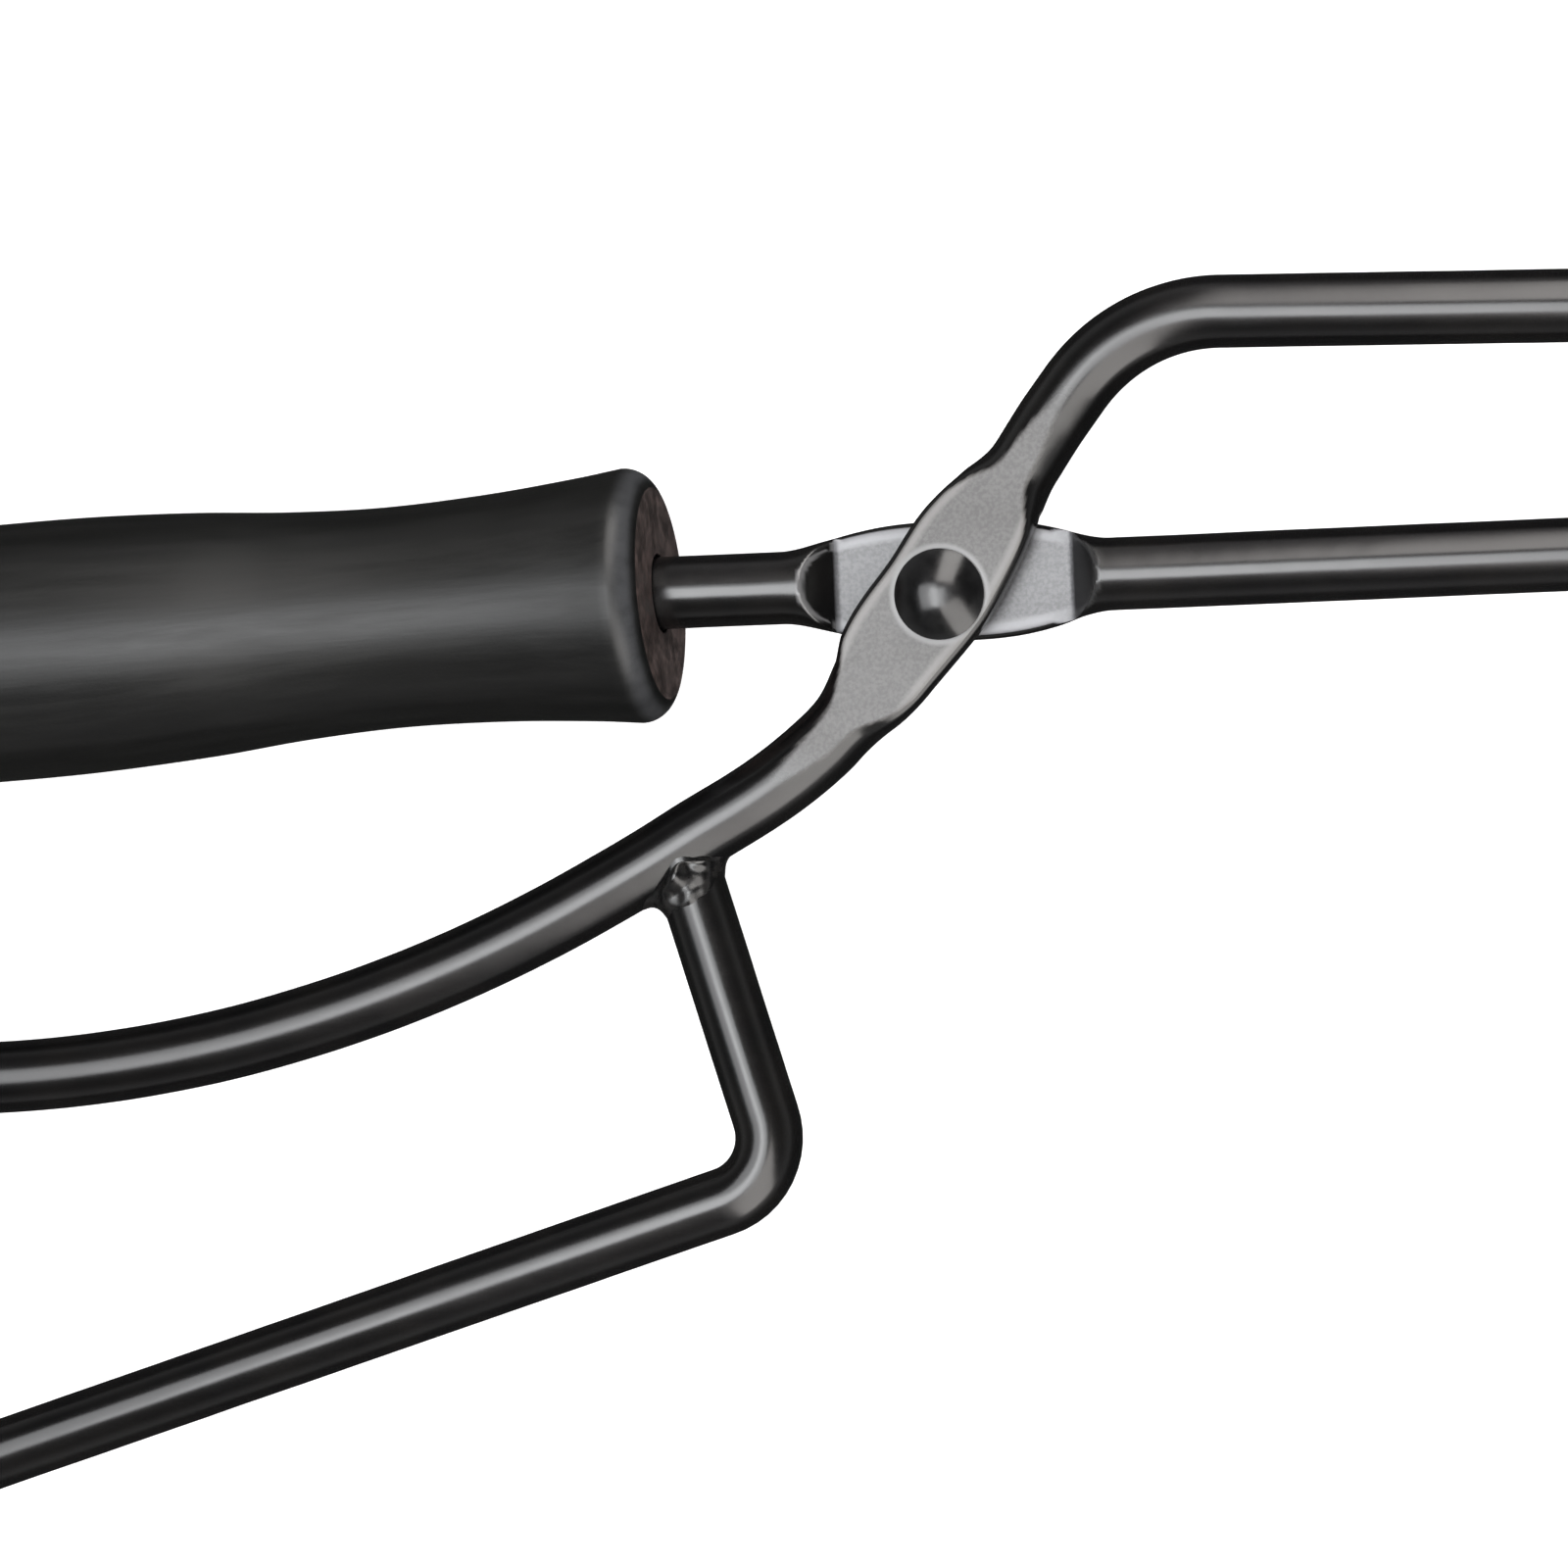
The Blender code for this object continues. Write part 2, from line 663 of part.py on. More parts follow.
def make_grip(body):
    """Turned handle, bored through for the tang and counterbored at the butt."""
    mesh = turned_mesh("grip", grip_profile(), GRIP_SIDES, closed=True)
    grip = add_piece("grip", mesh, body, black_wood("grip"))
    grip.matrix_local = grip_matrix(0.0)
    return grip


def make_butt_washer(body):
    _, washer, _, _ = butt_stack()
    profile = [
        (FASTENER_BORE_R, BUTT_WASHER_THICK), (BUTT_WASHER_R, BUTT_WASHER_THICK),
        (BUTT_WASHER_R, 0.0), (FASTENER_BORE_R, 0.0),
    ]
    mesh = turned_mesh("butt_washer", profile, TURNED_SIDES, closed=True)
    piece = add_piece("butt_washer", mesh, body, bare_steel("butt_washer"))
    piece.matrix_local = grip_matrix(washer)
    return piece


def make_tang_nut(body):
    """Hexagon nut on the tang's threaded end."""
    _, _, nut, _ = butt_stack()
    corner_r = NUT_ACROSS_FLATS / 2 / math.cos(math.pi / NUT_SIDES)
    mesh = cylinder_mesh("tang_nut", corner_r, 0.0, NUT_THICK, NUT_SIDES)
    piece = add_piece("tang_nut", mesh, body, bare_steel("tang_nut"))
    piece.matrix_local = grip_matrix(nut)
    bore = cylinder_mesh("tang_nut_bore", FASTENER_BORE_R, -MM, NUT_THICK + MM)
    cutter = add_cutter("tang_nut_bore", bore, body)
    cutter.matrix_local = grip_matrix(nut)
    cut(piece, cutter)
    return piece


# ---------------------------------------------------------------- assembly

def main():
    clear_scene()
    make_collection("fire_tongs")
    make_collection("cutters")
    arm_body = make_body("straight_arm_body")
    lever_body = make_body("lever_body")

    hole = cylinder_mesh("rivet_hole", RIVET_HOLE_R, -2 * ROD_R, 2 * ROD_R)
    rivet_hole = add_cutter("rivet_hole", hole, arm_body)
    make_straight_arm(arm_body, rivet_hole)
    make_lever_arm(lever_body, rivet_hole)

    clearance = lever_clearance(lever_body)
    bow_path = BentPath(BOW_BENDS, BOW_DEGREES)
    make_finger_bow(lever_body, bow_path, clearance)
    bow_room = wire_mesh("bow_clearance", bow_path, BOW_R + GAP)
    bow_clearance = add_cutter("bow_clearance", bow_room, lever_body)
    make_weld("front_weld", lever_body, BOW_BENDS[0], BOW_BENDS[1], clearance, bow_clearance)
    make_weld("rear_weld", lever_body, BOW_BENDS[3], BOW_BENDS[2], clearance, bow_clearance)

    make_rivet(arm_body)
    make_rivet_washer(arm_body)
    make_grip(arm_body)
    make_butt_washer(arm_body)
    make_tang_nut(arm_body)


main()
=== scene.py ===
"""Looks for the fire tongs: forged and coated rods, weld beads, rivet, turned grip, camera and studio.

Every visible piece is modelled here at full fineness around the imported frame. Lengths are in metres;
outlines are laid out from the pivot in the plane of the tongs, as on the CAD model.
"""

import json
import math

import bmesh
import bpy
from mathutils import Matrix, Vector, noise

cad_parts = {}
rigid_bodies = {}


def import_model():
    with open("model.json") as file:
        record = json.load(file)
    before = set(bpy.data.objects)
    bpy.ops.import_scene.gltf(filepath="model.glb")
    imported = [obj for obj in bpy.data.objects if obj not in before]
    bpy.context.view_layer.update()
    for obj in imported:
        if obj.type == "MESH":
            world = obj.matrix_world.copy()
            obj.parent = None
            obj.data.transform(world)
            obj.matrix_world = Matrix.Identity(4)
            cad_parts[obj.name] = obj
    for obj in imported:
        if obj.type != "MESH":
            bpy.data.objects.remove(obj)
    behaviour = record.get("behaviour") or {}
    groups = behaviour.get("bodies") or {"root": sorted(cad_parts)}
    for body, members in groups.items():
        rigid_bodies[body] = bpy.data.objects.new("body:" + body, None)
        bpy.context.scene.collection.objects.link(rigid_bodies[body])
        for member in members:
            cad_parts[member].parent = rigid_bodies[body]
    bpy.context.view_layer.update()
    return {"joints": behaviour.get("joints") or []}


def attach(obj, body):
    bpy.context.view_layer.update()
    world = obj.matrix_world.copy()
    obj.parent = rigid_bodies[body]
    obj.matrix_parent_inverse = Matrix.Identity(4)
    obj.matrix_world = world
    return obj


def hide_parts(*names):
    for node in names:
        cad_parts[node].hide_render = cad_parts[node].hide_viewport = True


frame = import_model()

MM = 0.001
MERGE = 0.002 * MM                # points closer than this become one
PIVOT = Vector(frame["joints"][0]["pos_m"])
ARM_BODY = frame["joints"][0]["parent"]
LEVER_BODY = frame["joints"][0]["child"]

# Rods
ROD_R = 4.0 * MM
BOW_R = 3.75 * MM
SECTION_SIDES = 72
BOW_SIDES = 48
ROD_WAVER = (9.0 * MM, 2.6 * MM)  # sizes of a hot-worked rod's coarse and fine unevenness
BOW_WAVER = (8.0 * MM, 2.4 * MM)
WAVER_AMOUNTS = (0.006, 0.002)    # of the radius
END_ROUND = 2.4 * MM
END_SHRINK = 0.5
END_STATIONS = (0.0, 0.05 * MM, 0.2 * MM, 0.5 * MM, 0.9 * MM, 1.5 * MM)
BOW_SUNK = 1.0 * MM               # how far the bow's path runs on past each cut end

# Rings along the rods: how far from the pivot they are fine, and the steps between them
FLAT_REACH = 30.0 * MM
FADE_REACH = 50.0 * MM
TAIL_STEP = 1.6 * MM
FLAT_STEP = 0.3 * MM
FADE_STEP = 0.8 * MM
STRAIGHT_STEP = 3.0 * MM
JAW_BLEND_STEP = 0.8 * MM
JAW_STEP = 2.5 * MM
NOSE_STEP = 0.4 * MM
BOW_STEP = 1.0 * MM
BOW_DEGREES = 2.0
PIVOT_SEARCH = 1200               # places tried along a path for its nearest point
WELD_SEARCH = 1800

# Pivot flats
FLAT_INNER = 0.15 * MM
FLAT_OUTER = 3.6 * MM
FLAT_CROWN = 1.95 * MM
FLAT_SQUARENESS = 5.0
FLAT_BORDER = 0.855               # of the half width, where the pressed face ends
RAMP_SLOPE = math.tan(math.radians(50))

# Wear and painted light on the flats (reflection, ramp and edge highlights), as the pair of places
# between which each fades in or out
OUTER_SKIN = (0.12 * MM, 0.04 * MM)    # below the flat's outer face
INNER_SKIN = (0.08 * MM, 0.2 * MM)     # beyond its inner face
SHOULDER_FADE = 0.3 * MM
RUB_AND_SHEEN_REACH = (20 * MM, 30 * MM)
EDGE_REACH = (10 * MM, 16 * MM)
EDGE_BAND = (1.0 * MM, 0.5 * MM)       # inside the flat's border
EDGE_HIGHLIGHT_GAIN = 2.0                        # how much brighter the painted edge highlights are than the flat
RIM_WIDTH = (0.25 * MM, 0.6 * MM)
RIM_START = 0.2 * MM
RIM_SIDE = 0.3 * MM
RIM_END = 0.25 * MM
LAND_SKIN = (0.45 * MM, 0.15 * MM)     # below the jaw's gripping face
LAND_REACH = (34 * MM, 46 * MM)
LAND_RUB = 0.8

# Straight arm and grip
ARM_Y = 1.5 * MM
ARM_TIP_X = 277.0 * MM
TANG_DROOP = math.radians(2.7)
GRIP_FRONT_X = -32.0 * MM
GRIP_LENGTH = 120.0 * MM
GRIP_BORE_R = 4.3 * MM
GRIP_FACE_ROUND = 3.2 * MM
GRIP_BUTT_ROUND = 3.6 * MM
GRIP_SIDES = 128
GRIP_FACE_STEP = 0.5 * MM
GRIP_BODY_STEP = 0.9 * MM
GRIP_MOUTH = 0.3 * MM
GRIP_UNEVEN_FROM = 8.0 * MM       # only the outside wall is uneven
TANG_SHORT = 2.0 * MM             # from the tang's end to the counterbore's floor
TANG_BEND_R = 60.0 * MM
GRIP_RADII = (                    # (distance behind the front face, radius) in millimetres
    (3.2, 14.1), (8.3, 13.5), (19.3, 12.6), (30.3, 12.25), (41.4, 12.7), (52.4, 13.65),
    (63.4, 14.2), (76.0, 14.35), (90.0, 14.15), (104.0, 13.6), (116.4, 13.2),
)
COUNTERBORE_R = 6.9 * MM
COUNTERBORE_DEPTH = 9.0 * MM

# Fasteners at the butt
TURNED_SIDES = 96
STUB_R = 2.8 * MM
STUB_ROOT = 2.5 * MM              # how far the thread starts inside the grip
THREAD_PITCH = 1.0 * MM
THREAD_DEPTH = 0.35 * MM
THREAD_SIDES = 48
THREAD_STEP = 0.125 * MM
THREAD_RUN_OUT = 0.8 * MM
THREAD_TAPER = 0.4 * MM
WASHER_EDGE = 0.18 * MM
BUTT_WASHER_R = 6.4 * MM
BUTT_WASHER_THICK = 1.2 * MM
NUT_ACROSS_FLATS = 10.0 * MM
NUT_THICK = 4.5 * MM
NUT_SIDES = 6
NUT_CHAMFER = 0.45 * MM
NUT_SINK = 0.4 * MM
NUT_RIM = 0.1 * MM                # from the chamfer's edges to the flats and the corners
NUT_SKIM = 0.001 * MM             # how far the turning tool passes the nut's faces
STUB_SHOWS = 1.5 * MM
BUTT_SEAT = 0.02 * MM
GAP = 0.3 * MM

# Rivet
RIVET_SHANK_R = 2.75 * MM
RIVET_HOLE_R = 3.05 * MM
RIVET_HEAD_R = 5.0 * MM
RIVET_HEAD_RISE = 1.9 * MM
RIVET_TAIL_R = 4.5 * MM
RIVET_TAIL_RISE = 1.8 * MM
RIVET_WASHER_R = 5.4 * MM
RIVET_WASHER_THICK = 1.1 * MM
RIVET_SEAT = 0.03 * MM
RIVET_LIP = 0.35 * MM
RIVET_EDGE = 0.1 * MM
BEATEN = 0.10 * MM                # unevenness of the rivet's ends, and how it is shared
TAIL_BEATEN = 1.6
HEAD_BEATEN = 0.5

# Jaws
JAW_LENGTH = 44.0 * MM
JAW_BLEND = 16.0 * MM
JAW_HALF_THICK = 2.0 * MM
JAW_CROWN = 2.24 * MM
JAW_SQUARENESS = 4.0
JAW_HALF_HEIGHT = 6.0 * MM
JAW_NOSE_HEIGHT = 0.55            # of the jaw's height, at its very tip
JAW_NOSE = 6.0 * MM
TOOTH_PITCH = 3.5 * MM
TOOTH_DEPTH = 0.7 * MM
TOOTH_COUNT = 9

# Weld beads. Pairs are for the sides of the bow's leg and for its top and bottom.
WELD_STATIONS = 150               # round the leg
WELD_POINTS = 30                  # across the bead
WELD_CLIMB = (2.0 * MM, 5.0 * MM)
WELD_FLARE = (2.0 * MM, -1.3 * MM)
WELD_SUNK = 0.10 * MM             # edges of the bead, under the rods' surfaces
WELD_ROOT = 1.2 * MM
WELD_COVE = 0.3 * MM
WELD_SKIN = 0.1 * MM
WELD_CROWN = 0.42 * MM
WELD_FULLNESS = 0.7
WELD_UNEVEN = (3.5 * MM, 0.25)    # size and amount
WELD_LUMPS = (1.9 * MM, 0.95 * MM)

# Bend corners in millimetres from the pivot: (x, y, bend radius)
LEVER_BENDS = (
    (-143.0, -45.4, 0), (-124.0, -49.45, 100), (-93.65, -49.45, 150), (-57.4, -40.1, 165),
    (-23.8, -22.95, 165), (-7.0, -9.8, 14), (6.4, 10.65, 14), (21.4, 29.95, 20),
    (231.0, 23.46, 40), (275.94, 26.11, 0),
)
BOW_BENDS = (
    (-30.95, -26.6, 0), (-20.4, -63.6, 7.4), (-139.0, -99.9, 16), (-134.3, -48.6, 0),
)

# Forged flats by distance from the pivot: how far they swell beyond the rod, where they round off and
# run out, where their inner face ends (rear, front) and how strong the painted highlights along the
# ramps at those ends are. "lean" lists sideways shifts of the forging as (place, reach, shift) in
# millimetres.
STRAIGHT_FLAT = {
    "swell": 2.6 * MM, "swell_reach": 18.5 * MM, "swell_power": 3, "swell_fall": 2.0,
    "rounding": (11.5 * MM, 15.5 * MM), "run_out": (15 * MM, 24 * MM),
    "shoulders": (12.2 * MM, 14.0 * MM), "rear_stretch": 1.0, "lean": (), "rim_highlights": (1.0, 0.25),
}
LEVER_FLAT = {
    "swell": 2.35 * MM, "swell_reach": 17.0 * MM, "swell_power": 3, "swell_fall": 2.0,
    "rounding": (9 * MM, 16 * MM), "run_out": (15 * MM, 25 * MM),
    "shoulders": (13.6 * MM, 13.0 * MM), "rear_stretch": 0.87, "rim_highlights": (1.0, 1.0),
    "lean": ((-10.0, 11.5, 1.0), (-27.0, 13.0, -0.56), (14.0, 9.0, -0.35)),
}

# Camera: tilted a little towards the jaws and rolled a little, with a long lens
CAMERA_TILT = math.radians(12.3)
CAMERA_ROLL = math.radians(2.17)
CAMERA_LENS = 250.0
CAMERA_SENSOR = 36.0
VIEW_WIDTH = 172.5 * MM
VIEW_CENTRE = Vector((-18.97, -20.05, 0.0)) * MM

# Studio
COOL = (0.97, 0.985, 1.0)
WARM = (1.0, 0.97, 0.94)
FLOOR_SIZE = 4.0
FLOOR_GLOW = 0.8
STUDIO_DARK = 0.03
HORIZON_GLOW = 0.22


# ---------------------------------------------------------------- small helpers

def ease(value, start, end):
    """Rise smoothly from 0 at start to 1 at end."""
    u = min(max((value - start) / (end - start), 0.0), 1.0)
    return u * u * (3 - 2 * u)


def mix(a, b, u):
    return a + (b - a) * u


def power(value, exponent):
    return math.copysign(abs(value) ** exponent, value)


def left_of(heading):
    return Vector((-heading.y, heading.x))


def steps_between(start, end, step):
    """Even steps from start up to, but not at, end."""
    count = max(1, round((end - start) / step))
    return [start + (end - start) * k / count for k in range(count)]


def waver(point, size, amount, seed):
    """Smooth noise, from -amount to amount, with features of the given size."""
    return amount * noise.noise(Vector(point) / size + Vector((seed, 7.3 * seed, -3.1 * seed)))


class BentPath:
    """A rod's centreline in the tool's plane: straight runs joined by bends."""

    def __init__(self, bends, degrees_per_step=0.5):
        corners = [Vector((x, y)) * MM for x, y, _ in bends]
        radii = [radius * MM for _, _, radius in bends]
        self.points = [corners[0]]
        for i in range(1, len(corners) - 1):
            self._add_bend(corners[i - 1], corners[i], corners[i + 1], radii[i], degrees_per_step)
        self.points.append(corners[-1])
        self.reach = [0.0]
        for a, b in zip(self.points, self.points[1:]):
            self.reach.append(self.reach[-1] + (b - a).length)
        self.length = self.reach[-1]

    def _add_bend(self, before, corner, after, radius, degrees_per_step):
        way_in = (corner - before).normalized()
        way_out = (after - corner).normalized()
        turn = way_in.angle_signed(way_out)
        start = corner - way_in * radius * math.tan(abs(turn) / 2)
        steps = max(2, math.ceil(abs(math.degrees(turn)) / degrees_per_step))
        side = math.copysign(1.0, turn)
        normal = Vector((way_in.y, -way_in.x)) * side
        centre = start + normal * radius
        for k in range(steps + 1):
            spoke = (start - centre).copy()
            spoke.rotate(Matrix.Rotation(-turn * k / steps, 2))
            self.points.append(centre + spoke)

    def at(self, distance):
        """Point and heading at a distance along the path, with the heading blended across joins."""
        i = 0
        while i < len(self.points) - 2 and self.reach[i + 1] < distance:
            i += 1
        a = self.points[i]
        heading = (self.points[i + 1] - a).normalized()
        point = a + heading * (distance - self.reach[i])
        before = (self.points[i] - self.points[i - 1]).normalized() if i > 0 else heading
        if i < len(self.points) - 2:
            after = (self.points[i + 2] - self.points[i + 1]).normalized()
        else:
            after = heading
        span = self.reach[i + 1] - self.reach[i]
        u = (distance - self.reach[i]) / span
        blended = (before + heading) * (1 - u) + (heading + after) * u
        return point, blended.normalized()

    def nearest_to(self, spot, count):
        """Distance along the path of its nearest approach to a spot, out of count places."""
        places = [self.length * k / count for k in range(count)]
        return min(places, key=lambda place: (self.at(place)[0] - spot).length)


# ---------------------------------------------------------------- mesh helpers

def add_object(name, mesh, material):
    """Link a mesh laid out from the pivot into the scene."""
    piece = bpy.data.objects.new(name, mesh)
    piece.location = PIVOT
    bpy.context.scene.collection.objects.link(piece)
    mesh.materials.append(material)
    return piece


def settle(piece, body, node):
    """Put the piece on the body it rides on and hide the CAD node that it stands for."""
    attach(piece, body)
    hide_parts(node)


def smooth(mesh, angle=40):
    mesh.shade_smooth()
    mesh.set_sharp_from_angle(angle=math.radians(angle))


def mesh_from(bm, name):
    bmesh.ops.recalc_face_normals(bm, faces=bm.faces)
    mesh = bpy.data.meshes.new(name)
    bm.to_mesh(mesh)
    bm.free()
    smooth(mesh)
    return mesh


def loft(name, rings, closed_path=False):
    """A mesh through equal rings of points, capped at both ends unless it closes on itself."""
    bm = bmesh.new()
    loops = [[bm.verts.new(point) for point in ring] for ring in rings]
    pairs = list(zip(loops, loops[1:]))
    if closed_path:
        pairs.append((loops[-1], loops[0]))
    for near, far in pairs:
        for k in range(len(near)):
            following = (k + 1) % len(near)
            bm.faces.new((near[k], near[following], far[following], far[k]))
    if not closed_path:
        bm.faces.new(list(reversed(loops[0])))
        bm.faces.new(loops[-1])
    return mesh_from(bm, name)


def frozen(obj, name):
    """Turn an object's evaluated shape into a plain welded mesh and remove the object."""
    bpy.context.view_layer.update()
    evaluated = obj.evaluated_get(bpy.context.evaluated_depsgraph_get())
    mesh = bpy.data.meshes.new_from_object(evaluated)
    mesh.name = name
    bm = bmesh.new()
    bm.from_mesh(mesh)
    bmesh.ops.remove_doubles(bm, verts=bm.verts, dist=MERGE)
    bmesh.ops.recalc_face_normals(bm, faces=bm.faces)
    bm.to_mesh(mesh)
    bm.free()
    mesh.materials.clear()
    bpy.data.objects.remove(obj, do_unlink=True)
    smooth(mesh)
    return mesh


def turned_mesh(name, profile, closed, sides=TURNED_SIDES):
    """Turn a profile of (radius, z) points about Z with the Screw modifier."""
    mesh = bpy.data.meshes.new(name + "_profile")
    edges = [(i, i + 1) for i in range(len(profile) - 1)]
    if closed:
        edges.append((len(profile) - 1, 0))
    mesh.from_pydata([(r, 0, z) for r, z in profile], edges, [])
    turned = bpy.data.objects.new(name + "_profile", mesh)
    bpy.context.scene.collection.objects.link(turned)
    screw = turned.modifiers.new("turn", "SCREW")
    screw.steps = sides
    screw.render_steps = sides
    screw.use_merge_vertices = True
    screw.merge_threshold = MERGE
    return frozen(turned, name)


def with_boolean(name, mesh, tool_mesh, operation):
    """One exact boolean between two meshes, frozen."""
    work = bpy.data.objects.new(name + "_work", mesh)
    tool = bpy.data.objects.new(name + "_tool", tool_mesh)
    bpy.context.scene.collection.objects.link(work)
    bpy.context.scene.collection.objects.link(tool)
    boolean = work.modifiers.new("cut", "BOOLEAN")
    boolean.operation = operation
    boolean.solver = "EXACT"
    boolean.object = tool
    result = frozen(work, name)
    bpy.data.objects.remove(tool, do_unlink=True)
    return result


def cylinder_mesh(name, radius, low, high, segments=64):
    bm = bmesh.new()
    bmesh.ops.create_cone(
        bm, cap_ends=True, segments=segments, radius1=radius, radius2=radius, depth=high - low,
        matrix=Matrix.Translation((0, 0, (low + high) / 2)),
    )
    return mesh_from(bm, name)


# ---------------------------------------------------------------- forged sections

def forged_section(width, height, squareness, middle, z_range, thickness):
    """A superellipse about z = middle, cut off by the die faces across z and across the width."""
    outline = []
    for k in range(SECTION_SIDES):
        angle = 2 * math.pi * (k + 0.5) / SECTION_SIDES
        across = width * power(math.cos(angle), 2 / squareness)
        z = middle + height * power(math.sin(angle), 2 / squareness)
        across = min(max(across, -thickness), thickness)
        z = min(max(z, z_range[0]), z_range[1])
        outline.append((across, z))
    return outline


def away_from_pivot(s, shape):
    """Distance from the pivot that the forging's shape follows: its rear may be stretched."""
    return abs(s) * (1.0 if s > 0 else shape["rear_stretch"])


def shoulder_at(s, shape):
    """Where the flat's inner face ends, on the side of the pivot that s is on."""
    return shape["shoulders"][0 if s < 0 else 1]


def flat_width(s, shape):
    """Half width of the forging at distance s from the pivot along its arm."""
    away = away_from_pivot(s, shape)
    swell = max(0.0, 1 - (away / shape["swell_reach"]) ** shape["swell_power"])
    return ROD_R + shape["swell"] * swell ** shape["swell_fall"]


def inner_level(s, shape):
    """Height of the inner face, which ramps down to the rod past its shoulder."""
    past_shoulder = max(0.0, abs(s) - shoulder_at(s, shape))
    return max(-ROD_R, FLAT_INNER - past_shoulder * RAMP_SLOPE)


def outer_level(s, shape):
    return mix(FLAT_OUTER, ROD_R, ease(away_from_pivot(s, shape), *shape["run_out"]))


def lean_of(s, shape):
    """How far the forging sits off its rod's line, to the left, at distance s from the pivot."""
    total = 0.0
    for centre, reach, shift in shape["lean"]:
        total += shift * MM * max(0.0, 1 - ((s / MM - centre) / reach) ** 2) ** 2
    return total


def flat_section(s, side, shape):
    """Section of an arm at distance s from the pivot along it; side is the sign of its outer face."""
    width = flat_width(s, shape)
    roundness = ease(away_from_pivot(s, shape), *shape["rounding"])
    squareness = mix(FLAT_SQUARENESS, 2.0, roundness)
    middle = mix((FLAT_INNER + FLAT_OUTER) / 2, 0.0, roundness)
    height = mix(FLAT_CROWN, ROD_R, roundness)
    z_range = (inner_level(s, shape), outer_level(s, shape))
    outline = forged_section(width, height, squareness, middle, z_range, width)
    lean = lean_of(s, shape)
    if side > 0:
        return [(across + lean, z) for across, z in outline]
    return [(across + lean, -z) for across, z in reversed(outline)]


def jaw_section(to_tip, gripping_side):
    """Section of a jaw at a distance back from its tip: its gripping face keeps the rod's level."""
    pressed = 1 - ease(to_tip, JAW_LENGTH, JAW_LENGTH + JAW_BLEND)
    nose = min(to_tip / JAW_NOSE, 1.0)
    narrowing = mix(JAW_NOSE_HEIGHT, 1.0, math.sqrt(1 - (1 - nose) ** 2))
    width = mix(ROD_R, JAW_CROWN, pressed)
    height = mix(ROD_R, JAW_HALF_HEIGHT * narrowing, pressed)
    thickness = mix(ROD_R, JAW_HALF_THICK, pressed)
    squareness = mix(2.0, JAW_SQUARENESS, pressed)
    outline = forged_section(width, height, squareness, 0.0, (-height, height), thickness)
    shift = (ROD_R - thickness) * gripping_side
    return [(across + shift, z) for across, z in outline]


def arm_distances(path, pivot_at, start):
    """Stations along an arm: very close at the flat, close at the jaw and bends."""
    jaw_root = path.length - JAW_LENGTH - JAW_BLEND
    stretches = (
        (pivot_at - FLAT_REACH, TAIL_STEP), (pivot_at + FLAT_REACH, FLAT_STEP),
        (pivot_at + FADE_REACH, FADE_STEP), (jaw_root, STRAIGHT_STEP),
        (jaw_root + JAW_BLEND, JAW_BLEND_STEP), (path.length - JAW_NOSE, JAW_STEP),
        (path.length, NOSE_STEP),
    )
    distances = []
    for end, step in stretches:
        distances += steps_between(start, end, step)
        start = end
    return distances + [path.length]


def rod_rings(path, distances, section_at, sizes, seed):
    """Rings of a rod's loft, with the faint unevenness of hot work at a coarse and a fine size."""
    rings = []
    for distance in distances:
        centre, heading = path.at(distance)
        left = left_of(heading)
        ring = []
        for across, z in section_at(distance):
            point = centre + left * across
            spot = Vector((point.x, point.y, z))
            swell = 1.0
            for k in range(2):
                swell += waver(spot, sizes[k], WAVER_AMOUNTS[k], seed + k)
            point = centre + left * across * swell
            ring.append((point.x, point.y, z * swell))
        rings.append(ring)
    return rings


def tooth_mesh(name, path, gripping_side):
    """A row of V grooves across a jaw's gripping face, as cutters."""
    bm = bmesh.new()
    half = TOOTH_DEPTH * math.sqrt(2)
    for k in range(TOOTH_COUNT):
        centre, heading = path.at(path.length - JAW_NOSE - TOOTH_PITCH * k)
        spot = centre + left_of(heading) * gripping_side * ROD_R
        turn = math.atan2(heading.y, heading.x) + math.radians(45)
        place = Matrix.Translation((spot.x, spot.y, 0)) @ Matrix.Rotation(turn, 4, "Z")
        size = Matrix.Diagonal((half, half, 4 * JAW_HALF_HEIGHT, 1))
        bmesh.ops.create_cube(bm, size=1, matrix=place @ size)
    return mesh_from(bm, name)


def finished_arm(name, rings, path, gripping_side):
    """Loft an arm, cut its jaw's teeth and bore it for the rivet."""
    mesh = loft(name, rings)
    mesh = with_boolean(name, mesh, tooth_mesh(name + "_teeth", path, gripping_side), "DIFFERENCE")
    hole = cylinder_mesh(name + "_hole", RIVET_HOLE_R, -2 * ROD_R, 2 * ROD_R)
    return with_boolean(name, mesh, hole, "DIFFERENCE")


def grip_point(behind):
    """A point on the grip's axis, at a distance behind its front face."""
    return Vector((
        GRIP_FRONT_X - behind * math.cos(TANG_DROOP), ARM_Y - behind * math.sin(TANG_DROOP),
    ))


def grip_matrix(behind):
    """Stand a turned piece on the grip's axis: its +Z points back along the grip."""
    point = grip_point(behind)
    place = Matrix.Translation((point.x, point.y, 0))
    turn = Matrix.Rotation(TANG_DROOP, 4, "Z") @ Matrix.Rotation(math.radians(-90), 4, "Y")
    return place @ turn


def butt_stack():
    """Distances behind the grip's front face: counterbore floor, washer, nut and stub end."""
    floor = GRIP_LENGTH - COUNTERBORE_DEPTH
    washer = floor + BUTT_SEAT
    nut = washer + BUTT_WASHER_THICK + BUTT_SEAT
    stub_end = nut + NUT_THICK + STUB_SHOWS
    return floor, washer, nut, stub_end


# ---------------------------------------------------------------- materials

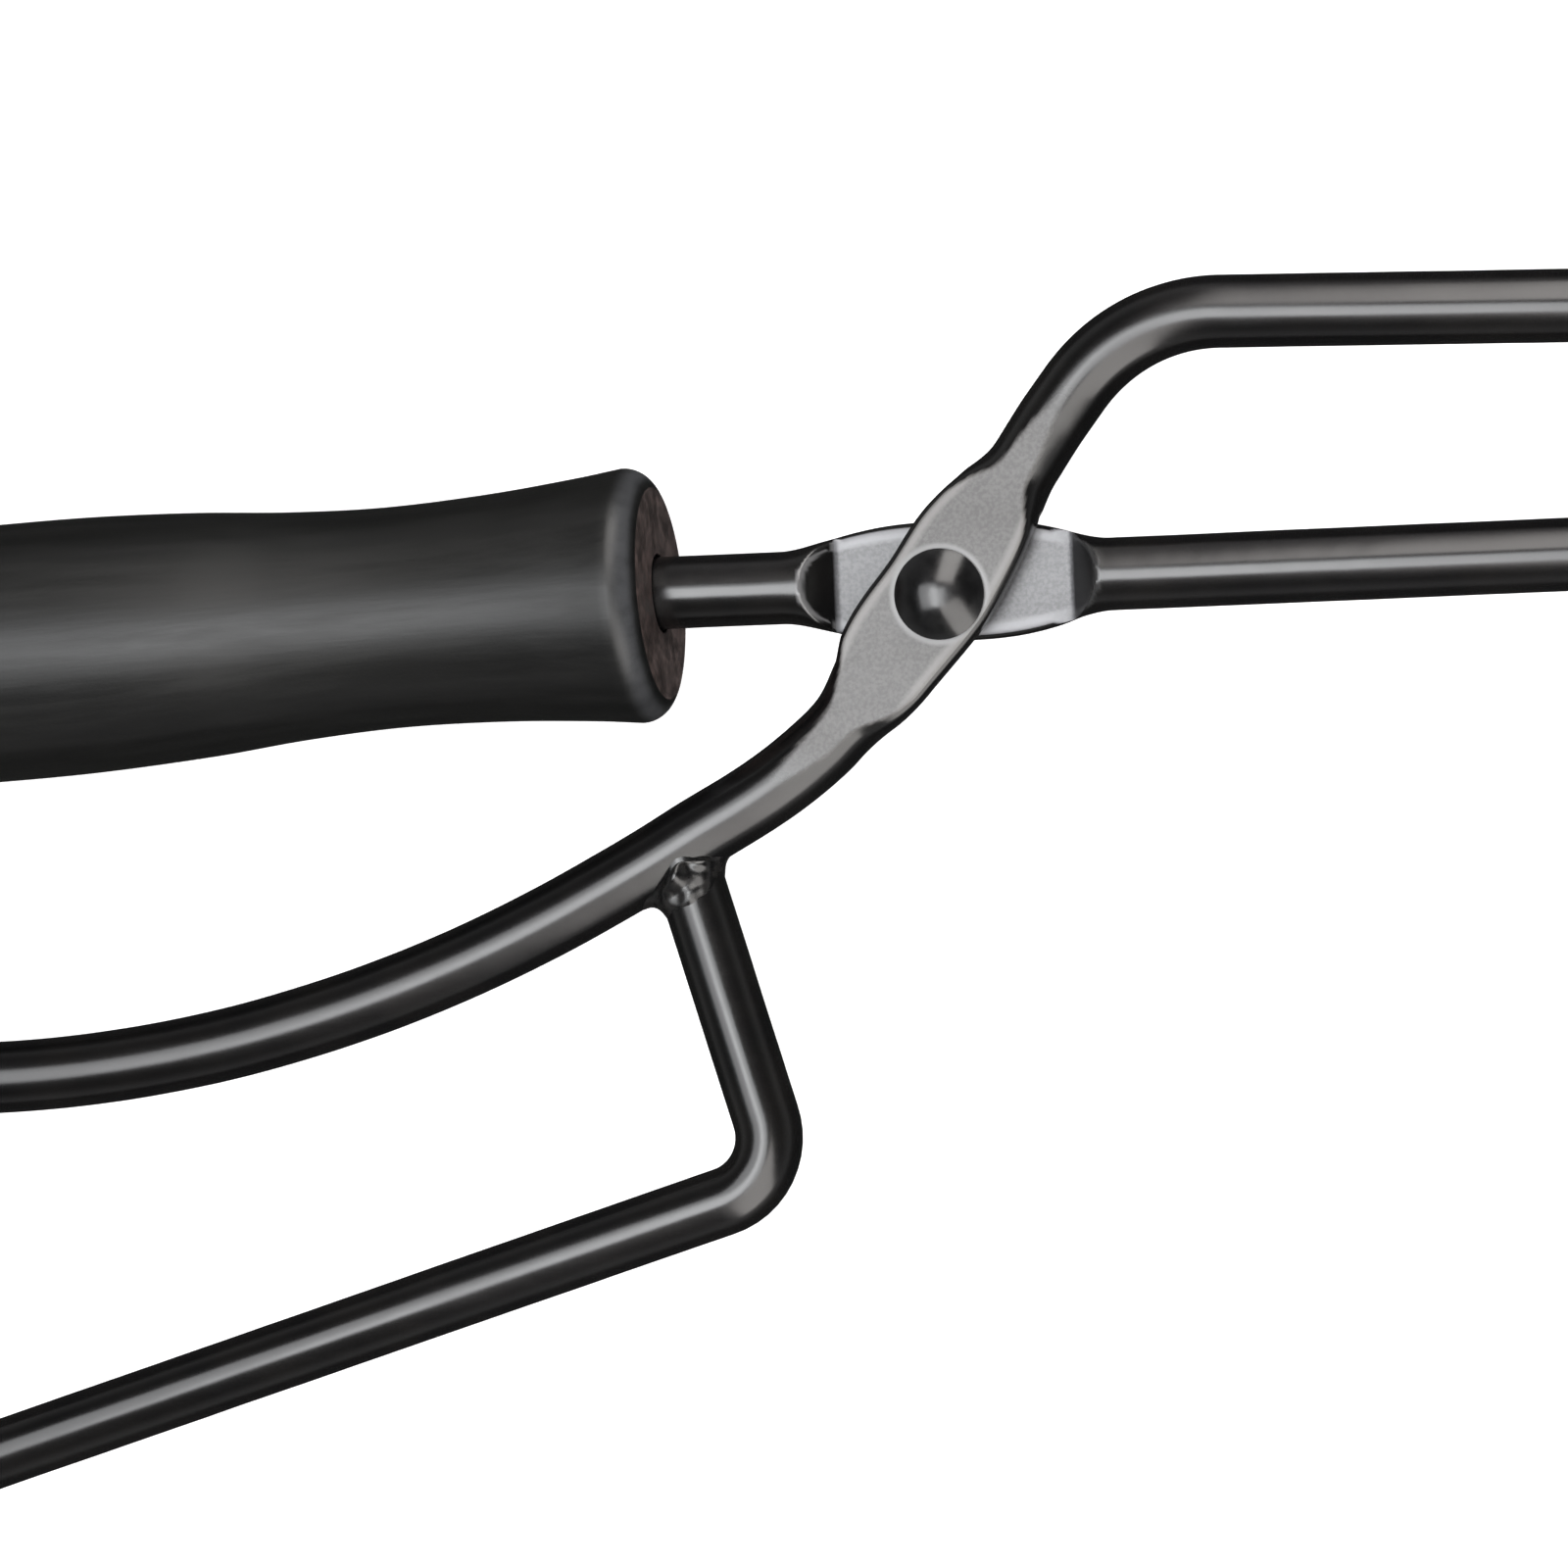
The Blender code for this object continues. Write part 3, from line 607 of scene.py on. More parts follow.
class Shader:
    """A Principled material with short calls to add the nodes that drive it."""

    def __init__(self, name, roughness, metallic=0.0, specular=0.5):
        self.material = bpy.data.materials.new(name)
        self.material.use_nodes = True
        self.tree = self.material.node_tree
        self.shader = self.tree.nodes["Principled BSDF"]
        self.shader.inputs["Roughness"].default_value = roughness
        self.shader.inputs["Metallic"].default_value = metallic
        self.shader.inputs["Specular IOR Level"].default_value = specular
        self.place = self.node("ShaderNodeTexCoord").outputs["Object"]

    def node(self, kind, **settings):
        node = self.tree.nodes.new(kind)
        for key, value in settings.items():
            setattr(node, key, value)
        return node

    def link(self, source, target):
        self.tree.links.new(source, target)

    def stretched(self, scale, turn=0.0):
        """Object coordinates about the pivot, turned about Z and scaled per axis."""
        mapping = self.node("ShaderNodeMapping", vector_type="TEXTURE")
        mapping.inputs["Rotation"].default_value = (0, 0, turn)
        mapping.inputs["Scale"].default_value = scale
        self.link(self.place, mapping.inputs["Vector"])
        return mapping.outputs["Vector"]

    def noise(self, scale, detail=3.0, roughness=0.5, vector=None):
        texture = self.node("ShaderNodeTexNoise")
        texture.inputs["Scale"].default_value = scale
        texture.inputs["Detail"].default_value = detail
        texture.inputs["Roughness"].default_value = roughness
        self.link(vector or self.place, texture.inputs["Vector"])
        return texture.outputs["Fac"]

    def spread(self, value, low, high, to_low=0.0, to_high=1.0):
        """Map a value from one range to another, clamped."""
        mapped = self.node("ShaderNodeMapRange")
        mapped.interpolation_type = "SMOOTHSTEP"
        for key, number in zip(("From Min", "From Max", "To Min", "To Max"),
                               (low, high, to_low, to_high)):
            mapped.inputs[key].default_value = number
        self.link(value, mapped.inputs["Value"])
        return mapped.outputs["Result"]

    def maths(self, operation, a, b):
        node = self.node("ShaderNodeMath", operation=operation)
        for socket, value in zip(node.inputs, (a, b)):
            if isinstance(value, (int, float)):
                socket.default_value = value
            else:
                self.link(value, socket)
        return node.outputs[0]

    def blend(self, factor, a, b):
        """Mix two colours, or colour sockets."""
        node = self.node("ShaderNodeMix", data_type="RGBA")
        self.link(factor, node.inputs["Factor"])
        for key, value in (("A", a), ("B", b)):
            socket = next(s for s in node.inputs if s.name == key and s.type == "RGBA")
            if isinstance(value, tuple):
                socket.default_value = (*value, 1.0)
            else:
                self.link(value, socket)
        return next(s for s in node.outputs if s.type == "RGBA")

    def bump(self, height, distance, strength=1.0, normal=None):
        node = self.node("ShaderNodeBump")
        node.inputs["Strength"].default_value = strength
        node.inputs["Distance"].default_value = distance
        self.link(height, node.inputs["Height"])
        if normal is not None:
            self.link(normal, node.inputs["Normal"])
        return node.outputs["Normal"]

    def attribute(self, name):
        node = self.node("ShaderNodeAttribute", attribute_name=name)
        return node.outputs["Fac"]

    def drive(self, socket, value):
        self.link(value, self.shader.inputs[socket])


def coated_steel(name, wear_and_sheen_low, wear_and_sheen_high, ring_radius=None):
    """Semi-gloss black coating on hot-worked rod, grey and grainy on the pressed flats: rubbing wear
    with painted reflection of the overhead light.

    The mesh says where, from 0 to 1: the rubbing wear with its painted reflection, and the painted
    highlights where the flats' inner faces ramp down and along their edges.
    ring_radius draws a thin light ring round a rivet's head on the flat, partly a burnished ring and
    partly a painted highlight.
    """
    look = Shader(name, roughness=0.25, specular=1.0)
    rub_and_sheen = look.attribute("rub_and_sheen")
    rim_highlight = look.attribute("rim_highlight")
    cloud = look.noise(140.0, detail=4.0)
    grain = look.noise(2600.0, detail=2.0)
    peel = look.noise(520.0, detail=2.0)
    scuffs = look.noise(90.0, detail=6.0, roughness=0.7, vector=look.stretched((8.0, 1.0, 1.0)))
    black = look.blend(look.spread(cloud, 0.35, 0.7),
                       (0.0032, 0.0032, 0.0035), (0.006, 0.0056, 0.0054))
    # The flats' grey is rubbing wear with painted reflection of the overhead light.
    wear_and_sheen = look.blend(look.spread(grain, 0.3, 0.7), wear_and_sheen_low, wear_and_sheen_high)
    colour = look.blend(rub_and_sheen, black, wear_and_sheen)
    # Painted highlight where the flat's inner face ramps down into the rod.
    colour = look.blend(look.maths("MULTIPLY", rim_highlight, 0.8), colour, (0.20, 0.20, 0.205))
    # Painted highlight along the flat's edges.
    edge_highlight_colour = tuple(EDGE_HIGHLIGHT_GAIN * part for part in wear_and_sheen_high)
    colour = look.blend(look.maths("MULTIPLY", look.attribute("edge"), 0.8), colour, edge_highlight_colour)
    # Thin light ring round a rivet's head: partly a burnished ring, partly a painted highlight.
    if ring_radius is not None:
        away = look.node("ShaderNodeVectorMath", operation="LENGTH")
        flat = look.node("ShaderNodeVectorMath", operation="MULTIPLY")
        flat.inputs[1].default_value = (1, 1, 0)
        look.link(look.place, flat.inputs[0])
        look.link(flat.outputs["Vector"], away.inputs[0])
        inner, outer = ring_radius + 0.20 * MM, ring_radius + 0.85 * MM
        ring = look.spread(away.outputs["Value"], inner, outer, 1.0, 0.0)
        colour = look.blend(look.maths("MULTIPLY", ring, rub_and_sheen), colour, (0.30, 0.30, 0.305))
    look.drive("Base Color", colour)
    gloss = look.spread(scuffs, 0.3, 0.75, 0.19, 0.27)
    rough = look.maths("ADD", gloss, look.maths("MULTIPLY", rub_and_sheen, 0.17))
    look.drive("Roughness", rough)
    fine = look.bump(look.maths("MULTIPLY", grain, rub_and_sheen), 0.016 * MM, 0.7)
    look.drive("Normal", look.bump(peel, 0.012 * MM, 0.3, fine))
    return look.material


def glossy_rivet(name):
    look = Shader(name, roughness=0.16, specular=1.0)
    cloud = look.noise(420.0, detail=3.0)
    look.drive("Base Color", look.blend(look.spread(cloud, 0.35, 0.7),
                                        (0.004, 0.004, 0.0043), (0.009, 0.009, 0.0095)))
    look.drive("Roughness", look.spread(cloud, 0.3, 0.7, 0.18, 0.26))
    look.drive("Normal", look.bump(look.noise(600.0, detail=2.0), 0.02 * MM, 0.3))
    return look.material


def weld_metal(name):
    look = Shader(name, roughness=0.25, specular=1.0)
    cloud = look.noise(900.0, detail=4.0)
    look.drive("Base Color", look.blend(look.spread(cloud, 0.35, 0.7),
                                        (0.004, 0.004, 0.0042), (0.014, 0.013, 0.0125)))
    look.drive("Roughness", look.spread(cloud, 0.3, 0.7, 0.20, 0.34))
    look.drive("Normal", look.bump(look.noise(1100.0, detail=3.0), 0.04 * MM, 0.4))
    return look.material


def dull_zinc(name):
    look = Shader(name, roughness=0.4, metallic=0.6)
    cloud = look.noise(500.0, detail=5.0)
    look.drive("Base Color", look.blend(look.spread(cloud, 0.3, 0.7),
                                        (0.32, 0.32, 0.33), (0.50, 0.50, 0.51)))
    look.drive("Roughness", look.spread(cloud, 0.3, 0.7, 0.32, 0.5))
    look.drive("Normal", look.bump(look.noise(2200.0), 0.01 * MM, 0.4))
    return look.material


def stained_wood(name):
    """Black-stained turned hardwood with its grain along the grip, and a painted grey highlight at its
    front rounding.
    """
    look = Shader(name, roughness=0.42, specular=0.72)
    along = look.stretched((12.0, 1.0, 1.0), turn=TANG_DROOP)
    streaks = look.noise(420.0, detail=6.0, roughness=0.65, vector=along)
    pores = look.noise(1700.0, detail=3.0, roughness=0.6, vector=along)
    cloud = look.noise(45.0, detail=3.0)
    stain = look.blend(look.spread(streaks, 0.35, 0.7),
                       (0.0022, 0.0024, 0.0024), (0.0045, 0.0047, 0.0045))
    stain = look.blend(look.spread(cloud, 0.3, 0.75), stain, (0.0052, 0.0053, 0.0050))
    # Painted grey highlight on the front rounding, broken up by the streaks.
    patchy = look.spread(streaks, 0.25, 0.6, 0.6, 1.0)
    front_highlight_mask = look.maths("MULTIPLY", look.attribute("front_highlight"), patchy)
    look.drive("Base Color", look.blend(front_highlight_mask, stain, (0.052, 0.054, 0.059)))
    look.drive("Roughness", look.spread(streaks, 0.3, 0.75, 0.38, 0.49))
    fine = look.bump(pores, 0.030 * MM, 0.35)
    look.drive("Normal", look.bump(streaks, 0.06 * MM, 0.25, fine))
    return look.material


def end_grain(name):
    """The grip's turned front face: brown end grain under thin black stain, with faint year rings."""
    look = Shader(name, roughness=0.55, specular=0.4)
    rings = look.node("ShaderNodeTexWave", wave_type="RINGS", rings_direction="X")
    rings.inputs["Scale"].default_value = 210.0
    rings.inputs["Distortion"].default_value = 3.0
    rings.inputs["Detail"].default_value = 3.0
    look.link(look.place, rings.inputs["Vector"])
    mottle = look.noise(420.0, detail=5.0, roughness=0.7)
    brown = look.blend(look.spread(mottle, 0.35, 0.68),
                       (0.026, 0.018, 0.0165), (0.092, 0.061, 0.056))
    look.drive("Base Color", look.blend(look.maths("MULTIPLY", rings.outputs["Fac"], 0.35), brown,
                                        (0.038, 0.028, 0.026)))
    look.drive("Roughness", look.spread(mottle, 0.3, 0.7, 0.5, 0.7))
    look.drive("Normal", look.bump(mottle, 0.08 * MM, 0.4))
    return look.material


# ---------------------------------------------------------------- arms

def paint(mesh, name, value_at):
    """Store a value from 0 to 1 at each point, for the coating's material."""
    layer = mesh.attributes.new(name, "FLOAT", "POINT")
    for item, vertex in zip(layer.data, mesh.vertices):
        item.value = value_at(vertex.co)


def paint_flat(mesh, path, pivot_at, side, shape):
    """Rub the pressed faces at the pivot and the jaw's lands, with painted reflection on the flats, and
    paint highlights where the flat's inner face ramps down and along its edges.
    """
    middle, axis = path.at(pivot_at)
    tip, way = path.at(path.length)
    inward = left_of(way) * -side

    def along(co):
        return (co.xy - middle).dot(axis)

    def across(co):
        return (co.xy - middle).dot(left_of(axis)) - lean_of(along(co), shape)

    def gripping_at(co):
        offset = co.xy - tip
        on_lands = ease(offset.dot(inward), ROD_R - LAND_SKIN[0], ROD_R - LAND_SKIN[1])
        return LAND_RUB * on_lands * (1 - ease(-offset.dot(way), *LAND_REACH))

    # Rubbing wear on the flats and the jaw's lands; on the flats it also carries painted reflection.
    def rub_and_sheen_at(co):
        s = along(co)
        outer = outer_level(s, shape)
        on_outer = ease(co.z * side, outer - OUTER_SKIN[0], outer - OUTER_SKIN[1])
        on_inner = 1 - ease(co.z * side, FLAT_INNER + INNER_SKIN[0], FLAT_INNER + INNER_SKIN[1])
        shoulder = shoulder_at(s, shape)
        on_inner *= 1 - ease(abs(s), shoulder, shoulder + SHOULDER_FADE)
        near = 1 - ease(abs(s), *RUB_AND_SHEEN_REACH)
        return max(near * max(on_outer, on_inner), gripping_at(co))

    # Painted highlight where the inner face ramps down into the rod, fading back from the ramp's edge.
    def rim_highlight_at(co):
        s = along(co)
        level = inner_level(s, shape)
        ramp_end = shoulder_at(s, shape) + (FLAT_INNER + ROD_R) / RAMP_SLOPE
        before_ramp = level > FLAT_INNER - RIM_START
        past_ramp = abs(s) - ramp_end > RIM_END
        if before_ramp or past_ramp or co.z * side > -RIM_SIDE:
            return 0.0
        natural = -math.sqrt(max(ROD_R ** 2 - across(co) ** 2, 0.0))
        return shape["rim_highlights"][0 if s < 0 else 1] * (1 - ease(abs(level - natural), *RIM_WIDTH))

    # Painted highlight just inside the flat's border, near the pivot.
    def edge_highlight_at(co):
        s = along(co)
        border = FLAT_BORDER * flat_width(s, shape)
        inside = ease(abs(across(co)), border - EDGE_BAND[0], border - EDGE_BAND[1])
        return inside * (1 - ease(abs(s), *EDGE_REACH)) * rub_and_sheen_at(co)

    paint(mesh, "rub_and_sheen", rub_and_sheen_at)
    paint(mesh, "rim_highlight", rim_highlight_at)
    paint(mesh, "edge", edge_highlight_at)


def make_straight_arm():
    """Tang, pivot flat and lower jaw."""
    tail = grip_point(butt_stack()[0] - TANG_SHORT)
    path = BentPath((
        (tail.x / MM, tail.y / MM, 0), (GRIP_FRONT_X / MM, ARM_Y / MM, TANG_BEND_R / MM),
        (ARM_TIP_X / MM, ARM_Y / MM, 0),
    ))
    pivot_at = path.nearest_to(Vector((0, 0)), PIVOT_SEARCH)

    def section_at(distance):
        to_tip = path.length - distance
        if to_tip < JAW_LENGTH + JAW_BLEND:
            return jaw_section(to_tip, 1)
        return flat_section(distance - pivot_at, -1, STRAIGHT_FLAT)

    rings = rod_rings(path, arm_distances(path, pivot_at, 0.0), section_at, ROD_WAVER, seed=3)
    mesh = finished_arm("straight_arm_rod", rings, path, 1)
    paint_flat(mesh, path, pivot_at, -1, STRAIGHT_FLAT)
    # Flats' grey: rubbing wear with painted reflection, lighter and bluer than the lever's so that the
    # lever's shadow on this flat does not show.
    wear_and_sheen_low, wear_and_sheen_high = (0.145, 0.147, 0.157), (0.22, 0.224, 0.239)
    material = coated_steel("coating_straight_arm", wear_and_sheen_low, wear_and_sheen_high)
    arm = add_object("straight_arm_rod", mesh, material)
    settle(arm, ARM_BODY, "straight_arm")


def make_thread():
    """The tang's threaded stub, from inside the grip to past the nut."""
    floor, _, _, stub_end = butt_stack()
    rings = []
    for distance in steps_between(floor - STUB_ROOT, stub_end, THREAD_STEP) + [stub_end]:
        taper = ease(distance, stub_end - THREAD_RUN_OUT, stub_end) * THREAD_TAPER
        ring = []
        for k in range(THREAD_SIDES):
            phase = (distance / THREAD_PITCH - k / THREAD_SIDES) % 1.0
            radius = STUB_R - abs(2 * phase - 1) * THREAD_DEPTH - taper
            angle = 2 * math.pi * k / THREAD_SIDES
            ring.append((radius * math.cos(angle), radius * math.sin(angle), distance))
        rings.append(ring)
    mesh = loft("tang_thread", rings)
    mesh.transform(grip_matrix(0.0))
    thread = add_object("tang_thread", mesh, dull_zinc("zinc_thread"))
    settle(thread, ARM_BODY, "straight_arm")


def make_lever_arm():
    """Finger lever, pivot flat, dog-leg and upper jaw."""
    path = BentPath(LEVER_BENDS)
    pivot_at = path.nearest_to(Vector((0, 0)), PIVOT_SEARCH)

    def section_at(distance):
        to_tip = path.length - distance
        if to_tip < JAW_LENGTH + JAW_BLEND:
            return jaw_section(to_tip, -1)
        outline = flat_section(distance - pivot_at, 1, LEVER_FLAT)
        in_end = 1 - min(distance / END_ROUND, 1.0)
        shrink = 1 - END_SHRINK * (1 - math.sqrt(1 - in_end ** 2))
        return [(across * shrink, z * shrink) for across, z in outline]

    distances = list(END_STATIONS) + arm_distances(path, pivot_at, END_ROUND)
    rings = rod_rings(path, distances, section_at, ROD_WAVER, seed=11)
    mesh = finished_arm("lever_arm_rod", rings, path, -1)
    paint_flat(mesh, path, pivot_at, 1, LEVER_FLAT)
    # Flats' grey: rubbing wear with painted reflection of the overhead light, slightly warm.
    wear_and_sheen_low, wear_and_sheen_high = (0.074, 0.071, 0.070), (0.125, 0.121, 0.119)
    material = coated_steel("coating_lever_arm", wear_and_sheen_low, wear_and_sheen_high, ring_radius=RIVET_HEAD_R)
    arm = add_object("lever_arm_rod", mesh, material)
    settle(arm, LEVER_BODY, "lever_arm")


# ---------------------------------------------------------------- finger bow and welds

def make_finger_bow():
    """Bent rod under the lever; its ends are coped into it under the weld beads."""
    path = BentPath(BOW_BENDS, BOW_DEGREES)
    end = path.length - BOW_SUNK
    distances = steps_between(BOW_SUNK, end, BOW_STEP) + [end]
    angles = [2 * math.pi * k / BOW_SIDES for k in range(BOW_SIDES)]
    outline = [(BOW_R * math.cos(angle), BOW_R * math.sin(angle)) for angle in angles]
    rings = rod_rings(path, distances, lambda distance: outline, BOW_WAVER, seed=21)
    material = coated_steel("coating_finger_bow", (0.08, 0.08, 0.08), (0.12, 0.12, 0.12))
    bow = add_object("finger_bow_rod", loft("finger_bow_rod", rings), material)
    settle(bow, LEVER_BODY, "finger_bow")


def onto_lever(point, root, lever_way, radius):
    """Push a point out from the lever's axis, which runs through root, to the given radius."""
    axis_point = root + lever_way * (point - root).dot(lever_way)
    return axis_point + (point - axis_point).normalized() * radius


def seam_point(root, leg_way, lever_way, angle):
    """Where the leg's surface meets the lever's, at an angle round the leg, and the leg's outward."""
    side = left_of(leg_way).to_3d()
    across = left_of(lever_way).to_3d()
    if across.dot(leg_way) < 0:
        across = -across
    outward = side * math.cos(angle) + Vector((0, 0, math.sin(angle)))
    reach = math.sqrt(ROD_R ** 2 - (BOW_R * outward.z) ** 2)
    height = (reach - BOW_R * math.cos(angle) * across.dot(side)) / across.dot(leg_way)
    return root + leg_way * height + outward * BOW_R, outward


def weld_ring(root, leg_way, lever_way, angle, seed):
    """The bead's outline at an angle round the leg: a lumpy cove, and a point at its root."""
    seam, outward = seam_point(root, leg_way, lever_way, angle)
    facing = outward.z ** 2
    size = 1 + waver(seam, *WELD_UNEVEN, seed)
    on_leg = seam + leg_way * mix(*WELD_CLIMB, facing) * size - outward * WELD_SUNK
    spread = outward - leg_way * outward.dot(leg_way)
    flare = seam + spread * mix(*WELD_FLARE, facing) * size
    on_lever = onto_lever(flare, root, lever_way, ROD_R - WELD_SUNK)
    crest = seam + outward * WELD_COVE
    away = (outward + leg_way * (1 - facing)).normalized()
    ring = []
    for j in range(WELD_POINTS):
        u = j / (WELD_POINTS - 1)
        cove = on_leg * (1 - u) ** 2 + crest * 2 * u * (1 - u) + on_lever * u * u
        bulge = math.sin(math.pi * u) ** WELD_FULLNESS
        lumps = waver(cove, *WELD_LUMPS, seed + 2)
        ring.append(cove + away * bulge * (WELD_SKIN + facing * (WELD_CROWN + lumps)))
    ring.append(onto_lever(seam - outward * WELD_ROOT, root, lever_way, ROD_R - WELD_ROOT))
    return ring


def make_weld(name, node, inner_end, outer_end, lever_path, seed):
    """A lumpy fillet of weld all round the joint between the bow's leg and the lever."""
    bow_end = Vector(inner_end[:2]) * MM
    leg_way = (Vector(outer_end[:2]) * MM - bow_end).normalized().to_3d()
    root, lever_way = lever_path.at(lever_path.nearest_to(bow_end, WELD_SEARCH))
    root, lever_way = root.to_3d(), lever_way.to_3d()
    angles = [2 * math.pi * k / WELD_STATIONS for k in range(WELD_STATIONS)]
    rings = [weld_ring(root, leg_way, lever_way, angle, seed) for angle in angles]
    mesh = loft(name, rings, closed_path=True)
    bead = add_object(name, mesh, weld_metal("metal_" + name))
    settle(bead, LEVER_BODY, node)


# ---------------------------------------------------------------- rivet, washers, nut

def dome(radius, rise, base, sign, count=24):
    """Quarter outline of a spherical cap from its crown to its rim: (radius, z) points."""
    sphere = (radius * radius + rise * rise) / (2 * rise)
    spread = math.asin(min(1.0, radius / sphere))
    outline = []
    for k in range(count + 1):
        angle = spread * k / count
        height = sphere * math.cos(angle) - sphere + rise
        outline.append((sphere * math.sin(angle), base + sign * height))
    return outline


def make_rivet():
    """Domed head with a short lip, shank, and a tail peened over its washer."""
    head_base = FLAT_OUTER + RIVET_SEAT
    tail_base = -(FLAT_OUTER + RIVET_WASHER_THICK + 2 * RIVET_SEAT)
    profile = dome(RIVET_HEAD_R, RIVET_HEAD_RISE, head_base + RIVET_LIP, 1)
    profile += [(RIVET_HEAD_R, head_base + RIVET_EDGE), (RIVET_HEAD_R - RIVET_EDGE, head_base)]
    profile += [(RIVET_SHANK_R, head_base), (RIVET_SHANK_R, tail_base)]
    profile += list(reversed(dome(RIVET_TAIL_R, RIVET_TAIL_RISE, tail_base, -1)))
    mesh = turned_mesh("pivot_rivet_domed", profile, closed=False)
    for vertex in mesh.vertices:
        beaten = waver(vertex.co, 2.6 * MM, BEATEN, 31)
        if vertex.co.z < tail_base:
            vertex.co.z += TAIL_BEATEN * beaten
        elif vertex.co.z > head_base + RIVET_LIP:
            vertex.co.z += HEAD_BEATEN * beaten
    smooth(mesh)
    rivet = add_object("pivot_rivet_domed", mesh, glossy_rivet("coating_rivet"))
    settle(rivet, ARM_BODY, "pivot_rivet")


def washer_profile(bore_r, rim_r, low, high):
    """Section of a stamped washer with rolled edges: (radius, z) points."""
    edge = WASHER_EDGE
    return [
        (bore_r, high - edge), (bore_r + edge, high), (rim_r - 2 * edge, high),
        (rim_r - 0.6 * edge, high - 0.4 * edge), (rim_r, high - 2 * edge), (rim_r, low + edge),
        (rim_r - edge, low), (bore_r + edge, low), (bore_r, low + edge),
    ]


def make_rivet_washer():
    high = -(FLAT_OUTER + RIVET_SEAT)
    profile = washer_profile(RIVET_HOLE_R, RIVET_WASHER_R, high - RIVET_WASHER_THICK, high)
    mesh = turned_mesh("rivet_washer_stamped", profile, closed=True)
    washer = add_object("rivet_washer_stamped", mesh, dull_zinc("zinc_rivet_washer"))
    settle(washer, ARM_BODY, "rivet_washer")


def make_butt_washer():
    _, washer_at, _, _ = butt_stack()
    profile = washer_profile(STUB_R + GAP, BUTT_WASHER_R, 0.0, BUTT_WASHER_THICK)
    mesh = turned_mesh("butt_washer_stamped", profile, closed=True)
    mesh.transform(grip_matrix(washer_at))
    washer = add_object("butt_washer_stamped", mesh, dull_zinc("zinc_butt_washer"))
    settle(washer, ARM_BODY, "butt_washer")


def make_tang_nut():
    """Hexagon nut with its corners chamfered on both faces and a countersunk bore."""
    _, _, nut_at, _ = butt_stack()
    corner_r = NUT_ACROSS_FLATS / 2 / math.cos(math.pi / NUT_SIDES)
    hexagon = cylinder_mesh("nut_hexagon", corner_r, 0.0, NUT_THICK, NUT_SIDES)
    flank = NUT_ACROSS_FLATS / 2 - NUT_RIM
    outside = corner_r + NUT_RIM
    bore = STUB_R + BUTT_SEAT
    profile = [
        (bore, NUT_THICK - NUT_SINK), (bore + NUT_SINK, NUT_THICK + NUT_SKIM),
        (flank, NUT_THICK + NUT_SKIM), (outside, NUT_THICK - NUT_CHAMFER),
        (outside, NUT_CHAMFER), (flank, -NUT_SKIM), (bore + NUT_SINK, -NUT_SKIM), (bore, NUT_SINK),
    ]
    turned = turned_mesh("nut_turning", profile, closed=True)
    mesh = with_boolean("tang_nut_hexagon", hexagon, turned, "INTERSECT")
    mesh.transform(grip_matrix(nut_at))
    nut = add_object("tang_nut_hexagon", mesh, dull_zinc("zinc_nut"))
    settle(nut, ARM_BODY, "tang_nut")


# ---------------------------------------------------------------- grip

def smooth_radius(behind):
    """The grip's radius at a distance behind its front face, through GRIP_RADII (Catmull-Rom)."""
    spots = [(d * MM, r * MM) for d, r in GRIP_RADII]
    i = 0
    while i < len(spots) - 2 and spots[i + 1][0] < behind:
        i += 1
    (d1, r1), (d2, r2) = spots[i], spots[i + 1]
    d0, r0 = spots[i - 1] if i > 0 else (2 * d1 - d2, 2 * r1 - r2)
    d3, r3 = spots[i + 2] if i + 2 < len(spots) else (2 * d2 - d1, r2)
    u = (behind - d1) / (d2 - d1)
    slope1 = (r2 - r0) / (d2 - d0) * (d2 - d1)
    slope2 = (r3 - r1) / (d3 - d1) * (d2 - d1)
    return (
        (2 * u ** 3 - 3 * u ** 2 + 1) * r1 + (u ** 3 - 2 * u ** 2 + u) * slope1
        + (3 * u ** 2 - 2 * u ** 3) * r2 + (u ** 3 - u ** 2) * slope2
    )


def quarter_round(centre_r, centre_z, radius, start, end, count=12):
    """Points of a quarter circle from angle start to end in degrees: (radius, z) points."""
    outline = []
    for k in range(count + 1):
        angle = math.radians(mix(start, end, k / count))
        outline.append((centre_r + radius * math.cos(angle), centre_z + radius * math.sin(angle)))
    return outline


def grip_profile():
    """Closed outline of the grip's wall; z runs back from the front face."""
    front_r = GRIP_RADII[0][1] * MM
    butt_r = GRIP_RADII[-1][1] * MM
    butt_start = GRIP_LENGTH - GRIP_BUTT_ROUND
    face = steps_between(GRIP_BORE_R + GRIP_MOUTH, front_r - GRIP_FACE_ROUND, GRIP_FACE_STEP)
    outer = [(radius, 0.0) for radius in face]
    outer += quarter_round(front_r - GRIP_FACE_ROUND, GRIP_FACE_ROUND, GRIP_FACE_ROUND, -90, 0)
    body = steps_between(GRIP_FACE_ROUND, butt_start, GRIP_BODY_STEP)[1:]
    outer += [(smooth_radius(behind), behind) for behind in body]
    outer += quarter_round(butt_r - GRIP_BUTT_ROUND, butt_start, GRIP_BUTT_ROUND, 0, 90)
    floor = GRIP_LENGTH - COUNTERBORE_DEPTH
    inner = [
        (COUNTERBORE_R + 0.2 * MM, GRIP_LENGTH), (COUNTERBORE_R, GRIP_LENGTH - 0.2 * MM),
        (COUNTERBORE_R, floor), (GRIP_BORE_R, floor),
        (GRIP_BORE_R, GRIP_MOUTH), (GRIP_BORE_R + 0.08 * MM, 0.08 * MM),
    ]
    return outer + inner


